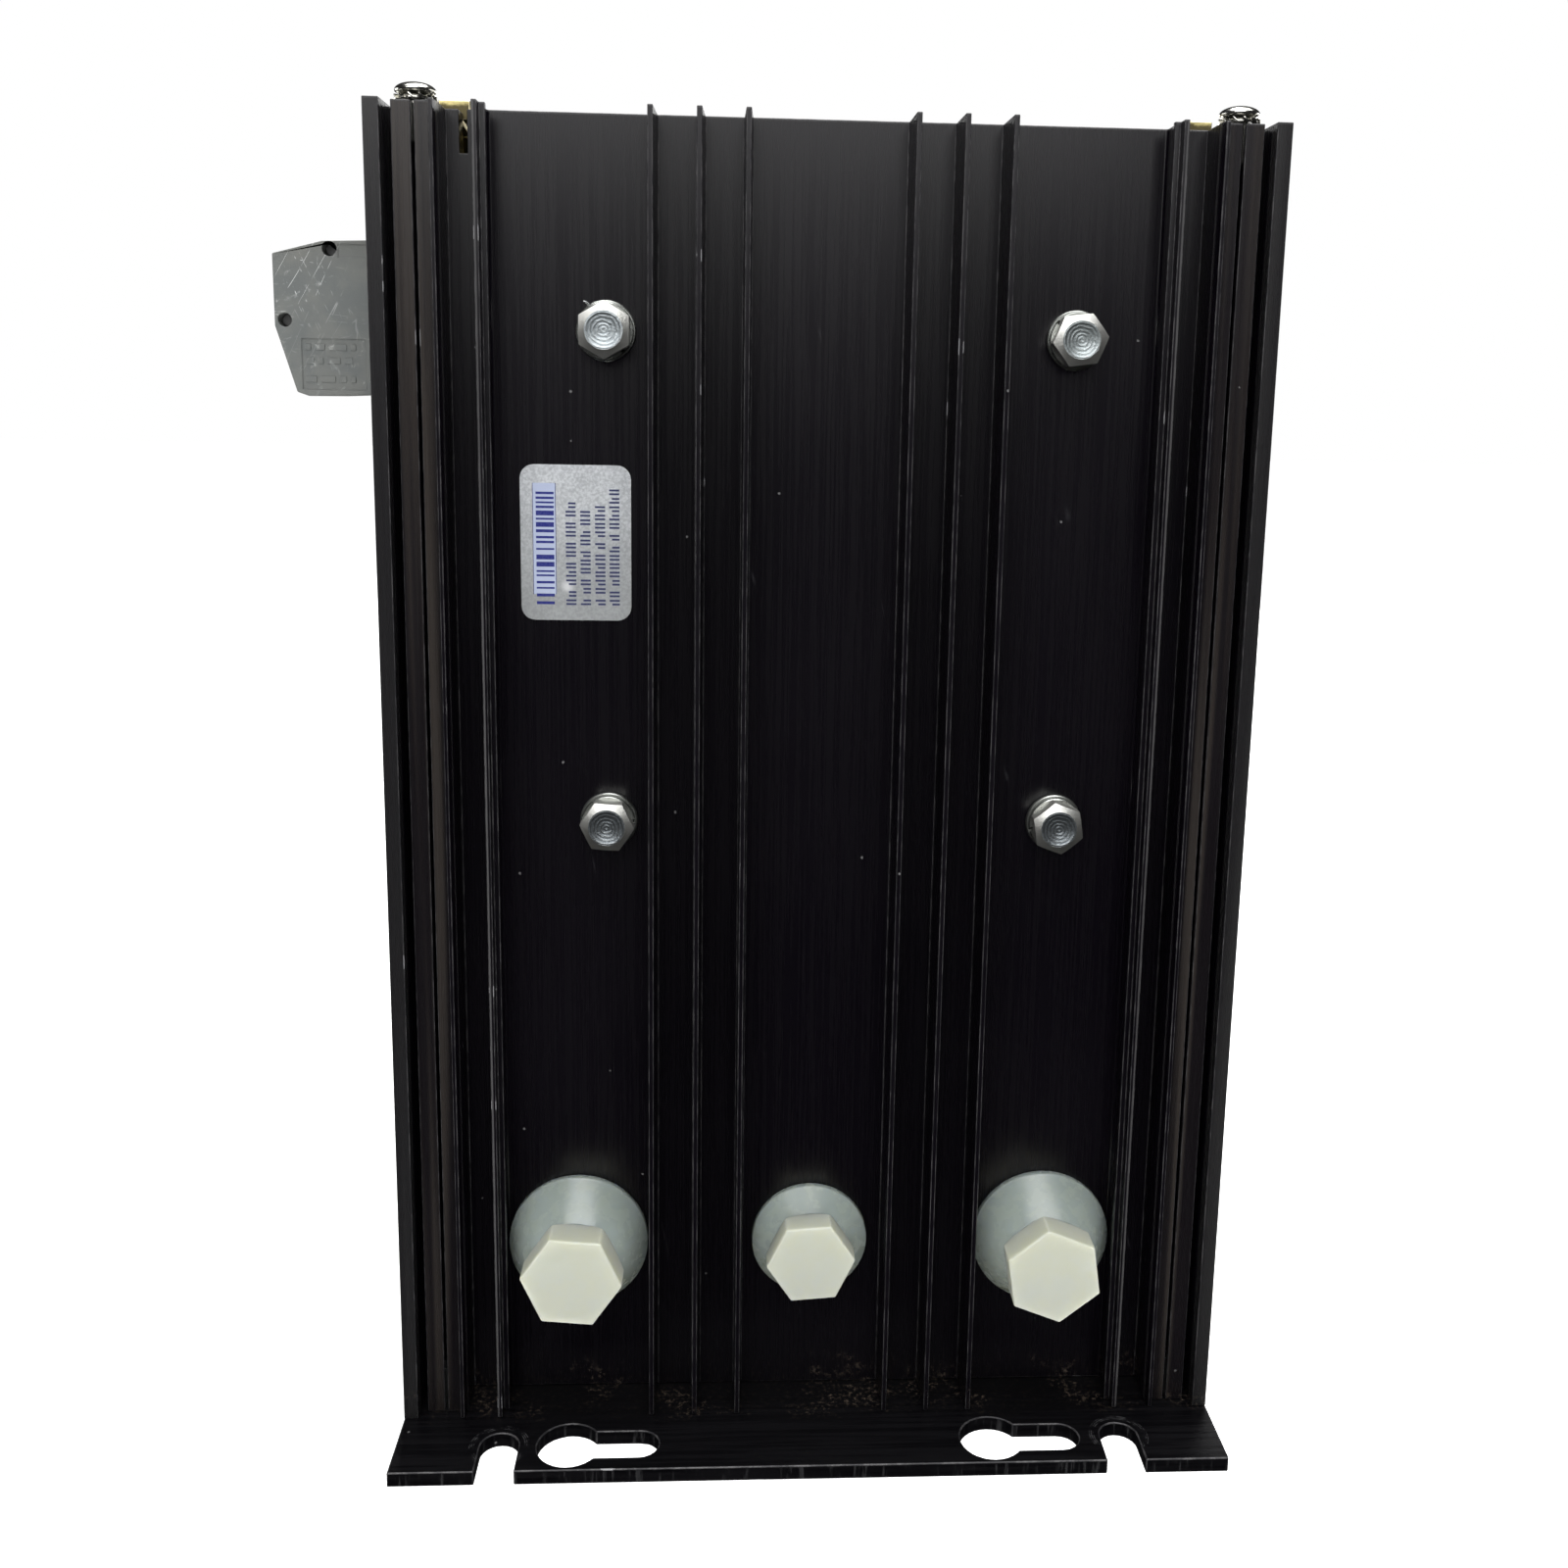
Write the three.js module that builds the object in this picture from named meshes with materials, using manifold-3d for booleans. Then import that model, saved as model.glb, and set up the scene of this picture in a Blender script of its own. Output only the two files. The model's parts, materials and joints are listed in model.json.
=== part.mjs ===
// Two-pole solid state relay on a finned heat sink, millimetres, +Z up.
// The fins face -Y. The origin is the middle of the base plate's underside.
import * as THREE from 'three';
import { mergeVertices } from 'three/addons/utils/BufferGeometryUtils.js';
import Module from 'manifold-3d';

const wasm = await Module();
wasm.setup();

// ---- Driving dimensions ----------------------------------------------------

// Heat sink extrusion. Depths are measured back from the fin tips.
const WIDTH = 180;
const SINK_LENGTH = 279;
const FIN_HEIGHT = 11.25;
const WEB_THICKNESS = 5;
const SIDE_WALL = 3.1;
const SIDE_WALL_DEPTH = 22;
const CENTRE_FIN_X = 16.5;        // innermost fin of each group of three
const FIN_PITCH = 9.5;
const FIN_TIP = 1.05;
const FIN_ROOT = 1.75;
const STEPPED_FIN_INSET = 20.5;   // outer face of the stepped fin, from the side
const STEPPED_FIN_TIP = 1.05;
const STEPPED_FIN_ROOT = 1.35;
const BEAD_WIDTH = 2.2;           // stepped fin across its bead
const BEAD_DEPTH = 2.8;           // front of the bead, behind the fin tips
const BEAD_HEIGHT = 1.4;
const BOSS_GAP = 1.7;             // slot between the side wall and the screw boss
const BOSS_WIDTH = 8.8;
const BOSS_DEPTH = 2.5;           // boss face, behind the fin tips
const RIB_WIDTH = 0.8;
const PORT_DEPTH = 6.4;           // screw port axis, behind the fin tips
const PORT_INSET = 8.9;           // screw port axis, from the side
const PORT_RADIUS = 1.9;
const PORT_SLIT = 0.7;
const CHANNEL_FILLET = 0.5;
const NOTCH_WIDTH = 1.65;         // slot sawn in the top of the web
const NOTCH_LENGTH = 8.4;
const NOTCH_INSET = 17;

// Base plate
const PLATE_THICKNESS = 3.3;
const PLATE_FRONT = 17.3;         // how far it stands out in front of the fin tips
const COVER_DEPTH = 76;           // cover, behind the web
const HOLE_ROW = 7.9;             // middle of every mounting hole, from the front edge
const SLOT_WIDTH = 8.35;
const SIDE_SLOT_X = 67.7;
const KEYHOLE_RADIUS = 6.9;
const KEYHOLE_RUN = 15.2;         // from the round hole to the end of the slot
const KEYHOLE_X = [-52.7, 39.4];

// Steel hexagon screws through the web, with their washers
const HEX_X_OFFSET = [7.2, -1.1]; // from the middle of each broad channel
const HEX_DROP = 42.3;            // upper pair, below the top of the heat sink
const HEX_PITCH = 102.5;
const HEX_FLATS = 10;
const HEX_HEAD = 3.9;
const HEX_THREAD = 3;             // thread radius
const HEX_SHANK = 12;             // thread beyond the web's front face
const HEX_TURN = [[-4, 30], [39, 7.5]];     // each head's turn, left low, left high, right low, right high
const FLAT_WASHER_RADIUS = 6.1;
const FLAT_WASHER = 1.2;
const SPRING_WASHER_RADIUS = 5.7;
const SPRING_WASHER = 1.5;

// Nylon screws with their conical collars: left, middle, right
const NYLON_HEIGHT = 36.7;
const MIDDLE_NYLON_X = -0.5;
const NYLON_FLATS = [19, 17, 19];
const NYLON_HEAD = [7.5, 6.4, 7.5];
const NYLON_THREAD = [6, 5, 6];
const NYLON_TURN = [-5.4, 4.3, 38.5];
const MIDDLE_COLLAR_RADIUS = 13;
const COLLAR_GAP = 0.39;          // from the outer collars to the fins beside them
const COLLAR_TOP = [9.8, 8.8, 9.8];
const COLLAR_HEIGHT = [10.7, 5.6, 10.7];
const COLLAR_LIP = 2;

// Screws in the ends of the two screw ports
const END_HEAD_RADIUS = 4;
const END_HEAD = 2.5;
const END_RECESS = 1.4;
const END_THREAD = 1.7;
const END_SHANK = 9;
const TOOTH_COUNT = 14;
const TOOTH_WASHER = 1.3;
const TOOTH_WASHER_RADIUS = 4.1;
const TOOTH_WIDTH = 1.2;
const TOOTH_RING_RADIUS = 3.2;
const TOOTH_RING = 0.5;
const COUNTERSINK = 2.1;          // depth of the countersunk heads under the base plate

// Foil label on the left channel
const LABEL_HEIGHT = 32.3;
const LABEL_CORNER = 2.9;
const LABEL_THICKNESS = 0.25;
const LABEL_RISE = 43.2;          // from the lower steel screw up to the label
const LABEL_INSET = 5.2;          // from the stepped fin to the label
const LABEL_FIN_GAP = 3.775;      // from the label to the root of the nearest fin

// Sheet metal cover
const SHEET = 1.2;
const LUG_WIDTH = 6.3;
const LUG_HEIGHT = 2.6;
const LUG_INSET = 11.3;           // outer edge of a lug, from the side of the heat sink
const VENT_LENGTH = 26;
const VENT_WIDTH = 3.2;
const VENT_PITCH = 9;
const VENT_ROWS = 10;
const VENT_COLUMNS = 4;
const COVER_SCREW_INSETS = [28, 32];    // from the bottom and from the top
const COVER_THREAD = 1.5;
const COVER_HEAD_RADIUS = 2.8;
const COVER_HEAD = 1.9;
const COVER_SHANK = 6;
const COVER_RECESS = 1.1;
const REAR_SCREW_X = 60;          // screws from the base plate into the cover's floor
const REAR_SCREW_INSET = 12;

// Feed-through terminal blocks in the left side of the cover
const TERMINAL_COUNT = 4;
const TERMINAL_BODY = 8;
const TERMINAL_GAP = 0.2;
const TERMINAL_DROP = 24.4;       // top of the blocks, below the top of the heat sink
const TERMINAL_HEIGHT = 32;
const TERMINAL_REACH = 24.9;      // beyond the side of the heat sink
const TERMINAL_FRONT = 1.5;       // first block, behind the side wall
const CLAMP_AXIS = 17.9;          // clamp screw, outwards from the side of the heat sink
const CLAMP_THREAD = 1.95;
const CLAMP_HEAD_RADIUS = 2.8;
const CLAMP_HEAD = 2.2;
const CLAMP_TRAVEL = 3.3;         // how far a cage climbs as its screw is tightened
const CAGE_HALF = 2.8;            // half the cage along the wire
const CAGE_SIDE = 2.95;           // half the cage across the wire
const CAGE_WALL = 0.75;
const CAGE_FLOOR = 0.8;
const CAGE_NUT = 2.6;
const WIRE_SPACE = 6.2;
const WIRE_ENTRY = 4.6;
const MARKING_DEPTH = 0.3;        // of the shallow marking fields in the block's side
const BAR_DEPTH = 19;             // top of the current bar, below the top of the block
const BAR_THICKNESS = 1.2;
const BAR_HALF = 2;
const PIN_HOLES = [[13.2, -1.9], [22.8, -16.4]];
const PIN_RADIUS = 1.43;

// Power modules, chokes and trigger board inside
const MODULE_WIDTH = 38;
const MODULE_MARGIN = 9.75;       // from a screw hole to the end of the module
const MODULE_HEIGHT = 30;
const MODULE_BASE = 3;
const MODULE_LUG = 10;            // height of the ends that the hexagon screws pull down
const MODULE_HOLE_INSET = 14;     // from a screw hole to the raised body
const STUD_RADIUS = 2.5;
const STUD_HEIGHT = 8;
const STUD_PITCH = 23;
const STUD_COLLAR = 3;
const CHOKE_RADIUS = [22.5, 18, 22.5];
const CHOKE_BORE = [7.5, 6.5, 7.5];
const CHOKE_HEIGHT = [24, 20, 24];
const NUT_HEIGHT = [9.5, 8, 9.5];
const CHOKE_ROUND = 4;
const BOARD_THICKNESS = 1.6;
const BOARD_MARGIN = 6;
const TRANSFORMER = [22, 15, 18];

// Clearances
const SEAT = 0.05;                // between two faces that rest on each other
const SCREW_CLEARANCE = 0.3;      // radial, of a thread in a plain hole
const SLIDE_CLEARANCE = 0.25;     // between parts that move past each other

// ---- Places that follow from them ------------------------------------------

const HALF = WIDTH / 2;
const BACK_DEPTH = FIN_HEIGHT + WEB_THICKNESS + COVER_DEPTH;
const PLATE_DEPTH = PLATE_FRONT + BACK_DEPTH;
const TIP_Y = PLATE_FRONT - PLATE_DEPTH / 2;
const WEB_Y = TIP_Y + FIN_HEIGHT;
const WEB_BACK = WEB_Y + WEB_THICKNESS;
const BASE_Z = PLATE_THICKNESS + SEAT;
const TOP_Z = BASE_Z + SINK_LENGTH;
const INNER_SIDE = HALF - SIDE_WALL;
const STEPPED_X = HALF - STEPPED_FIN_INSET;
const STEPPED_INNER = STEPPED_X - STEPPED_FIN_ROOT;
const OUTER_FIN_X = CENTRE_FIN_X + 2 * FIN_PITCH;
const CHANNEL_X = (STEPPED_INNER + OUTER_FIN_X + FIN_ROOT / 2) / 2;
const LABEL_WIDTH = STEPPED_INNER - LABEL_INSET - OUTER_FIN_X - FIN_ROOT / 2 - LABEL_FIN_GAP;
const OUTER_COLLAR_RADIUS = STEPPED_INNER - CHANNEL_X - COLLAR_GAP;
const COLLAR_RADIUS = [OUTER_COLLAR_RADIUS, MIDDLE_COLLAR_RADIUS, OUTER_COLLAR_RADIUS];
const BOSS_OUTER = INNER_SIDE - BOSS_GAP;
const BOSS_INNER = BOSS_OUTER - BOSS_WIDTH;
const PORT_X = HALF - PORT_INSET;
const PORT_Y = TIP_Y + PORT_DEPTH;
const HEX_X = [-CHANNEL_X + HEX_X_OFFSET[0], CHANNEL_X + HEX_X_OFFSET[1]];
const HEX_LOW = SINK_LENGTH - HEX_DROP - HEX_PITCH;
const NYLON_X = [-CHANNEL_X, MIDDLE_NYLON_X, CHANNEL_X];
const NYLON_Z = BASE_Z + NYLON_HEIGHT;
const COVER_OUTER = INNER_SIDE - SLIDE_CLEARANCE;
const COVER_FRONT = WEB_BACK + SLIDE_CLEARANCE;
const COVER_BACK = TIP_Y + BACK_DEPTH;
const SIDE_HOLE_Y = (WEB_BACK + TIP_Y + SIDE_WALL_DEPTH) / 2;
const COVER_SCREW_HEIGHTS = [COVER_SCREW_INSETS[0], SINK_LENGTH - COVER_SCREW_INSETS[1]];
const TERMINAL_PITCH = TERMINAL_BODY + TERMINAL_GAP;

// ---- Solids ----------------------------------------------------------------

function toSolid(geometry) {
  const bare = geometry.clone();
  bare.deleteAttribute('normal');
  bare.deleteAttribute('uv');
  const merged = mergeVertices(bare, 1e-4);
  return new wasm.Manifold(new wasm.Mesh({
    numProp: 3,
    vertProperties: new Float32Array(merged.attributes.position.array),
    triVerts: new Uint32Array(merged.index.array),
  }));
}

function toGeometry(solid) {
  const mesh = solid.getMesh();
  const geometry = new THREE.BufferGeometry();
  geometry.setAttribute('position', new THREE.BufferAttribute(mesh.vertProperties, 3));
  geometry.setIndex(new THREE.BufferAttribute(mesh.triVerts, 1));
  return geometry;
}

function cut(geometry, tools) {
  return toGeometry(tools.reduce((solid, tool) => solid.subtract(toSolid(tool)), toSolid(geometry)));
}

function join(geometries) {
  const [first, ...rest] = geometries.map(toSolid);
  return toGeometry(rest.reduce((solid, piece) => solid.add(piece), first));
}

function common(first, second) {
  return toGeometry(toSolid(first).intersect(toSolid(second)));
}

function box(x0, x1, y0, y1, z0, z1) {
  const geometry = new THREE.BoxGeometry(x1 - x0, y1 - y0, z1 - z0);
  return geometry.translate((x0 + x1) / 2, (y0 + y1) / 2, (z0 + z1) / 2);
}

// Round bar along +Z from z0 to z1
function rod(radius, x, y, z0, z1, sides = 16) {
  const geometry = new THREE.CylinderGeometry(radius, radius, z1 - z0, sides);
  return geometry.rotateX(Math.PI / 2).translate(x, y, (z0 + z1) / 2);
}

// Round bar along +Y from y0 to y1
function rodY(radius, x, z, y0, y1, sides = 16) {
  const geometry = new THREE.CylinderGeometry(radius, radius, y1 - y0, sides);
  return geometry.translate(x, (y0 + y1) / 2, z);
}

// Round bar along +X from x0 to x1
function rodX(radius, y, z, x0, x1, sides = 12) {
  const geometry = new THREE.CylinderGeometry(radius, radius, x1 - x0, sides);
  return geometry.rotateZ(Math.PI / 2).translate((x0 + x1) / 2, y, z);
}

function polygon(points) {
  return new THREE.Shape(points.map(([x, y]) => new THREE.Vector2(x, y)));
}

function extrude(shape, height, curveSegments = 8) {
  return new THREE.ExtrudeGeometry(shape, { depth: height, bevelEnabled: false, curveSegments });
}

// Solid turned about +Z from points of radius and height
function turned(points, sides = 24) {
  const profile = points.map(([radius, height]) => new THREE.Vector2(radius, height));
  return new THREE.LatheGeometry(profile, sides).rotateX(Math.PI / 2);
}

function arcPoints(x, y, radius, from, to, steps) {
  return Array.from({ length: steps + 1 }, (_, i) => {
    const angle = THREE.MathUtils.degToRad(from + ((to - from) * i) / steps);
    return [x + radius * Math.cos(angle), y + radius * Math.sin(angle)];
  });
}

function hexagon(flats) {
  const corners = Array.from({ length: 6 }, (_, i) => {
    const angle = (i * Math.PI) / 3;
    const radius = flats / Math.sqrt(3);
    return [radius * Math.cos(angle), radius * Math.sin(angle)];
  });
  return polygon(corners);
}

const finishes = {
  anodised: { color: 0x17161b, roughness: 0.45, metalness: 0.7 },
  zinc: { color: 0xb4b9bb, roughness: 0.35, metalness: 0.9 },
  nylon: { color: 0xe3e3cb, roughness: 0.5, metalness: 0 },
  collarNylon: { color: 0xc5cfc8, roughness: 0.4, metalness: 0 },
  foil: { color: 0xb9bcc4, roughness: 0.4, metalness: 0.6 },
  chromate: { color: 0xb59a52, roughness: 0.4, metalness: 0.8 },
  terminal: { color: 0x6d716f, roughness: 0.6, metalness: 0 },
  brass: { color: 0xb8a36a, roughness: 0.4, metalness: 0.9 },
  moduleCase: { color: 0x2c2d2f, roughness: 0.5, metalness: 0 },
  winding: { color: 0x8d4b24, roughness: 0.4, metalness: 0.6 },
  board: { color: 0x1f5b35, roughness: 0.5, metalness: 0 },
};

const group = new THREE.Group();

function addPart(name, geometry, finish, parent = group) {
  const mesh = new THREE.Mesh(geometry, new THREE.MeshStandardMaterial(finishes[finish]));
  mesh.name = name;
  parent.add(mesh);
  return mesh;
}

// A holder whose local +Z points out of the web, towards the fins' side
function facingFront(x, z, turn = 0) {
  const holder = new THREE.Group();
  holder.position.set(x, WEB_Y, z);
  holder.rotation.x = Math.PI / 2;
  const spin = new THREE.Group();
  spin.rotation.z = THREE.MathUtils.degToRad(turn);
  holder.add(spin);
  group.add(holder);
  return spin;
}

// ---- Heat sink -------------------------------------------------------------

// Right half of the section, from the middle of the web's front to the middle of its back.
function sinkHalf() {
  const tip = TIP_Y;
  const root = WEB_Y;
  const slit = PORT_SLIT / 2;
  const portAngle = THREE.MathUtils.radToDeg(Math.asin(slit / PORT_RADIUS));
  const fins = [0, 1, 2].flatMap((i) => {
    const x = CENTRE_FIN_X + i * FIN_PITCH;
    return [
      [x - FIN_ROOT / 2, root], [x - FIN_TIP / 2, tip],
      [x + FIN_TIP / 2, tip], [x + FIN_ROOT / 2, root],
    ];
  });
  const fillet = arcPoints(STEPPED_INNER - CHANNEL_FILLET, root - CHANNEL_FILLET, CHANNEL_FILLET, 90, 0, 3);
  const beadFront = tip + BEAD_DEPTH;
  const steppedFin = [
    [STEPPED_INNER, beadFront + BEAD_HEIGHT * 1.3], [STEPPED_X - BEAD_WIDTH, beadFront + BEAD_HEIGHT],
    [STEPPED_X - BEAD_WIDTH, beadFront], [STEPPED_X - STEPPED_FIN_TIP, beadFront],
    [STEPPED_X - STEPPED_FIN_TIP, tip], [STEPPED_X, tip], [STEPPED_X, root],
  ];
  const rib = [
    [BOSS_INNER, root], [BOSS_INNER, tip + BOSS_DEPTH], [BOSS_INNER + RIB_WIDTH / 2, tip],
    [BOSS_INNER + RIB_WIDTH * 1.5, tip], [BOSS_INNER + RIB_WIDTH * 1.5, tip + BOSS_DEPTH],
  ];
  const port = [
    [PORT_X - slit, tip + BOSS_DEPTH],
    ...arcPoints(PORT_X, PORT_Y, PORT_RADIUS, -90 - portAngle, -450 + portAngle, 20),
    [PORT_X + slit, tip + BOSS_DEPTH],
  ];
  const sideWall = [
    [BOSS_OUTER, tip + BOSS_DEPTH], [BOSS_OUTER, root], [INNER_SIDE, root], [INNER_SIDE, tip],
    [HALF, tip], [HALF, tip + SIDE_WALL_DEPTH],
    [INNER_SIDE, tip + SIDE_WALL_DEPTH], [INNER_SIDE, WEB_BACK],
  ];
  return [...fins, ...fillet, ...steppedFin, ...rib, ...port, ...sideWall];
}

// Holes for a pair of cover screws, one in each side
function sideHoles(z) {
  const radius = COVER_THREAD + SCREW_CLEARANCE;
  const from = COVER_OUTER - 2 * SHEET;
  const to = HALF + 1;
  return [rodX(radius, SIDE_HOLE_Y, z, -to, -from), rodX(radius, SIDE_HOLE_Y, z, from, to)];
}

function heatSink() {
  const right = sinkHalf();
  const left = right.map(([x, y]) => [-x, y]).reverse();
  const bar = extrude(polygon([...right, ...left]), SINK_LENGTH).translate(0, 0, BASE_Z);
  const through = [WEB_Y - 1, WEB_BACK + 1];
  const holes = [];
  for (const x of HEX_X) {
    for (const z of [BASE_Z + HEX_LOW, BASE_Z + HEX_LOW + HEX_PITCH]) {
      holes.push(rodY(HEX_THREAD + SCREW_CLEARANCE, x, z, ...through));
    }
  }
  NYLON_X.forEach((x, i) => {
    holes.push(rodY(NYLON_THREAD[i] + SCREW_CLEARANCE, x, NYLON_Z, ...through, 24));
  });
  for (const height of COVER_SCREW_HEIGHTS) {
    holes.push(...sideHoles(BASE_Z + height));
  }
  const notchX = -HALF + NOTCH_INSET;
  const notch = box(
    notchX - NOTCH_WIDTH / 2, notchX + NOTCH_WIDTH / 2, ...through, TOP_Z - NOTCH_LENGTH, TOP_Z + 1,
  );
  return cut(bar, [...holes, notch]);
}

addPart('heatsink', heatSink(), 'anodised');

// ---- Base plate ------------------------------------------------------------

const PLATE_EDGE = -PLATE_DEPTH / 2;
const HOLE_Y = PLATE_EDGE + HOLE_ROW;
const BASE_SCREW_PLACES = [
  [-PORT_X, PORT_Y], [PORT_X, PORT_Y],
  [-REAR_SCREW_X, COVER_BACK - REAR_SCREW_INSET], [REAR_SCREW_X, COVER_BACK - REAR_SCREW_INSET],
];

function basePlate() {
  const slotRadius = SLOT_WIDTH / 2;
  const openSlot = (x) => [
    [x - slotRadius, PLATE_EDGE],
    ...arcPoints(x, HOLE_Y, slotRadius, 180, 0, 12),
    [x + slotRadius, PLATE_EDGE],
  ];
  const outline = [
    [-HALF, PLATE_EDGE], ...openSlot(-SIDE_SLOT_X), ...openSlot(SIDE_SLOT_X),
    [HALF, PLATE_EDGE], [HALF, PLATE_DEPTH / 2], [-HALF, PLATE_DEPTH / 2],
  ];
  const bottom = -1;
  const top = PLATE_THICKNESS + 1;
  const tools = [];
  for (const x of KEYHOLE_X) {
    const end = x + KEYHOLE_RUN;
    tools.push(rod(KEYHOLE_RADIUS, x, HOLE_Y, bottom, top, 32));
    tools.push(rod(slotRadius, end, HOLE_Y, bottom, top, 20));
    tools.push(box(x, end, HOLE_Y - slotRadius, HOLE_Y + slotRadius, bottom, top));
  }
  const bore = END_THREAD + SCREW_CLEARANCE;
  const sink = turned([
    [0, bottom], [bore + COUNTERSINK - bottom, bottom], [bore, COUNTERSINK], [bore, top], [0, top],
  ], 16);
  for (const [x, y] of BASE_SCREW_PLACES) {
    tools.push(sink.clone().translate(x, y, 0));
  }
  return cut(extrude(polygon(outline), PLATE_THICKNESS), tools);
}

addPart('base_plate', basePlate(), 'anodised');

// Cross recess for a head whose top is at the given height
function crossRecess(height, reach, depth) {
  const arm = 0.45;
  return [
    box(-reach, reach, -arm, arm, height - depth, height + 1),
    box(-arm, arm, -reach, reach, height - depth, height + 1),
  ];
}

function countersunkScrew() {
  const lowest = 0.2;
  const screw = turned([
    [0, lowest], [END_THREAD + COUNTERSINK, lowest], [END_THREAD, lowest + COUNTERSINK],
    [END_THREAD, PLATE_THICKNESS + END_SHANK], [0, PLATE_THICKNESS + END_SHANK],
  ], 16);
  const recess = crossRecess(0, 1.9, 1.5).map((arm) => arm.rotateX(Math.PI));
  return cut(screw, recess);
}

BASE_SCREW_PLACES.forEach(([x, y], i) => {
  addPart(`base_screw_${i + 1}`, countersunkScrew(), 'zinc').position.set(x, y, 0);
});

// ---- Hexagon screws and washers --------------------------------------------

// Hexagon head from the bearing face up, its outer edge turned to a chamfer
function hexHead(flats, height, chamfer, underChamfer) {
  const corner = flats / Math.sqrt(3);
  const turnedOff = turned([
    [0, 0], [corner - underChamfer, 0], [corner, underChamfer], [corner, height - chamfer],
    [corner - chamfer * 1.7, height], [0, height],
  ], 24);
  return common(extrude(hexagon(flats), height), turnedOff);
}

function washer(inner, outer, thickness) {
  return turned([[inner, 0], [outer, 0], [outer, thickness], [inner, thickness], [inner, 0]]);
}

function springWasher() {
  const ring = washer(HEX_THREAD + SCREW_CLEARANCE, SPRING_WASHER_RADIUS, SPRING_WASHER);
  const split = box(0, SPRING_WASHER_RADIUS + 1, -0.4, 0.4, -2, SPRING_WASHER + 2);
  const middle = SPRING_WASHER / 2;
  return cut(ring, [split.translate(0, 0, -middle).rotateX(0.45).translate(0, 0, middle)]);
}

const washerTop = SEAT + FLAT_WASHER;
const springTop = washerTop + SEAT + SPRING_WASHER;
const hexBearing = springTop + SEAT;
const hexGeometry = join([
  rod(HEX_THREAD, 0, 0, -HEX_SHANK, hexBearing + 0.5),
  hexHead(HEX_FLATS, HEX_HEAD, 0.6, 0.2).translate(0, 0, hexBearing),
]);

HEX_X.forEach((x, column) => {
  [0, 1].forEach((row) => {
    const place = `${['left', 'right'][column]}_${['low', 'high'][row]}`;
    const holder = facingFront(x, BASE_Z + HEX_LOW + row * HEX_PITCH, HEX_TURN[column][row]);
    const flat = washer(HEX_THREAD + SCREW_CLEARANCE, FLAT_WASHER_RADIUS, FLAT_WASHER);
    addPart(`flat_washer_${place}`, flat.translate(0, 0, SEAT), 'zinc', holder);
    addPart(`spring_washer_${place}`, springWasher().translate(0, 0, washerTop + SEAT), 'zinc', holder);
    addPart(`hex_screw_${place}`, hexGeometry, 'zinc', holder);
  });
});

// ---- Nylon screws, their collars, and the chokes they hold ------------------

['left', 'middle', 'right'].forEach((place, i) => {
  const bore = NYLON_THREAD[i] + SCREW_CLEARANCE;
  const collar = turned([
    [bore, 0], [COLLAR_RADIUS[i], 0], [COLLAR_RADIUS[i], COLLAR_LIP],
    [COLLAR_TOP[i], COLLAR_HEIGHT[i]], [bore, COLLAR_HEIGHT[i]], [bore, 0],
  ], 36);
  const bearing = COLLAR_HEIGHT[i] + 2 * SEAT;
  const chokeFront = -WEB_THICKNESS - SEAT;
  const chokeBack = chokeFront - CHOKE_HEIGHT[i];
  const nutFront = chokeBack - SEAT;
  const nutBack = nutFront - NUT_HEIGHT[i];
  const screw = join([
    rod(NYLON_THREAD[i], 0, 0, nutBack - NYLON_THREAD[i], bearing + 0.5),
    hexHead(NYLON_FLATS[i], NYLON_HEAD[i], 0.3, 1.2).translate(0, 0, bearing),
  ]);
  const rim = CHOKE_RADIUS[i];
  const toroid = turned([
    [CHOKE_BORE[i], chokeBack], [rim - CHOKE_ROUND, chokeBack], [rim, chokeBack + CHOKE_ROUND],
    [rim, chokeFront - CHOKE_ROUND], [rim - CHOKE_ROUND, chokeFront],
    [CHOKE_BORE[i], chokeFront], [CHOKE_BORE[i], chokeBack],
  ]);
  const nut = cut(extrude(hexagon(NYLON_FLATS[i]), NUT_HEIGHT[i]), [
    rod(bore, 0, 0, -1, NUT_HEIGHT[i] + 1),
  ]);
  const holder = facingFront(NYLON_X[i], NYLON_Z, NYLON_TURN[i]);
  addPart(`nylon_collar_${place}`, collar.translate(0, 0, SEAT), 'collarNylon', holder);
  addPart(`nylon_screw_${place}`, screw, 'nylon', holder);
  addPart(`choke_${place}`, toroid, 'winding', holder);
  addPart(`choke_nut_${place}`, nut.translate(0, 0, nutBack), 'nylon', holder);
});

// ---- Pan-head screws with toothed washers -----------------------------------

function panHead(radius, height, thread, shank, recessDepth) {
  const dome = arcPoints(0, height * 0.4, 1, 0, 90, 3).map(([x, y]) => [
    x * radius, height * 0.4 + (y - height * 0.4) * height * 0.6,
  ]);
  const screw = turned([[0, -shank], [thread, -shank], [thread, 0], [radius, 0], ...dome], 20);
  return cut(screw, crossRecess(height, radius * 0.55, recessDepth));
}

function toothedWasher() {
  const middle = TOOTH_WASHER / 2;
  const ring = washer(END_THREAD + SCREW_CLEARANCE, TOOTH_RING_RADIUS, TOOTH_RING);
  const half = TOOTH_WIDTH / 2;
  const inner = TOOTH_RING_RADIUS - 0.2;
  const teeth = Array.from({ length: TOOTH_COUNT }, (_, i) => {
    const tooth = box(inner, TOOTH_WASHER_RADIUS, -half, half, -half / 3, half / 3).rotateX(Math.PI / 4);
    return tooth.translate(0, 0, middle).rotateZ((i * 2 * Math.PI) / TOOTH_COUNT);
  });
  return join([ring.translate(0, 0, middle - TOOTH_RING / 2), ...teeth]);
}

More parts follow.
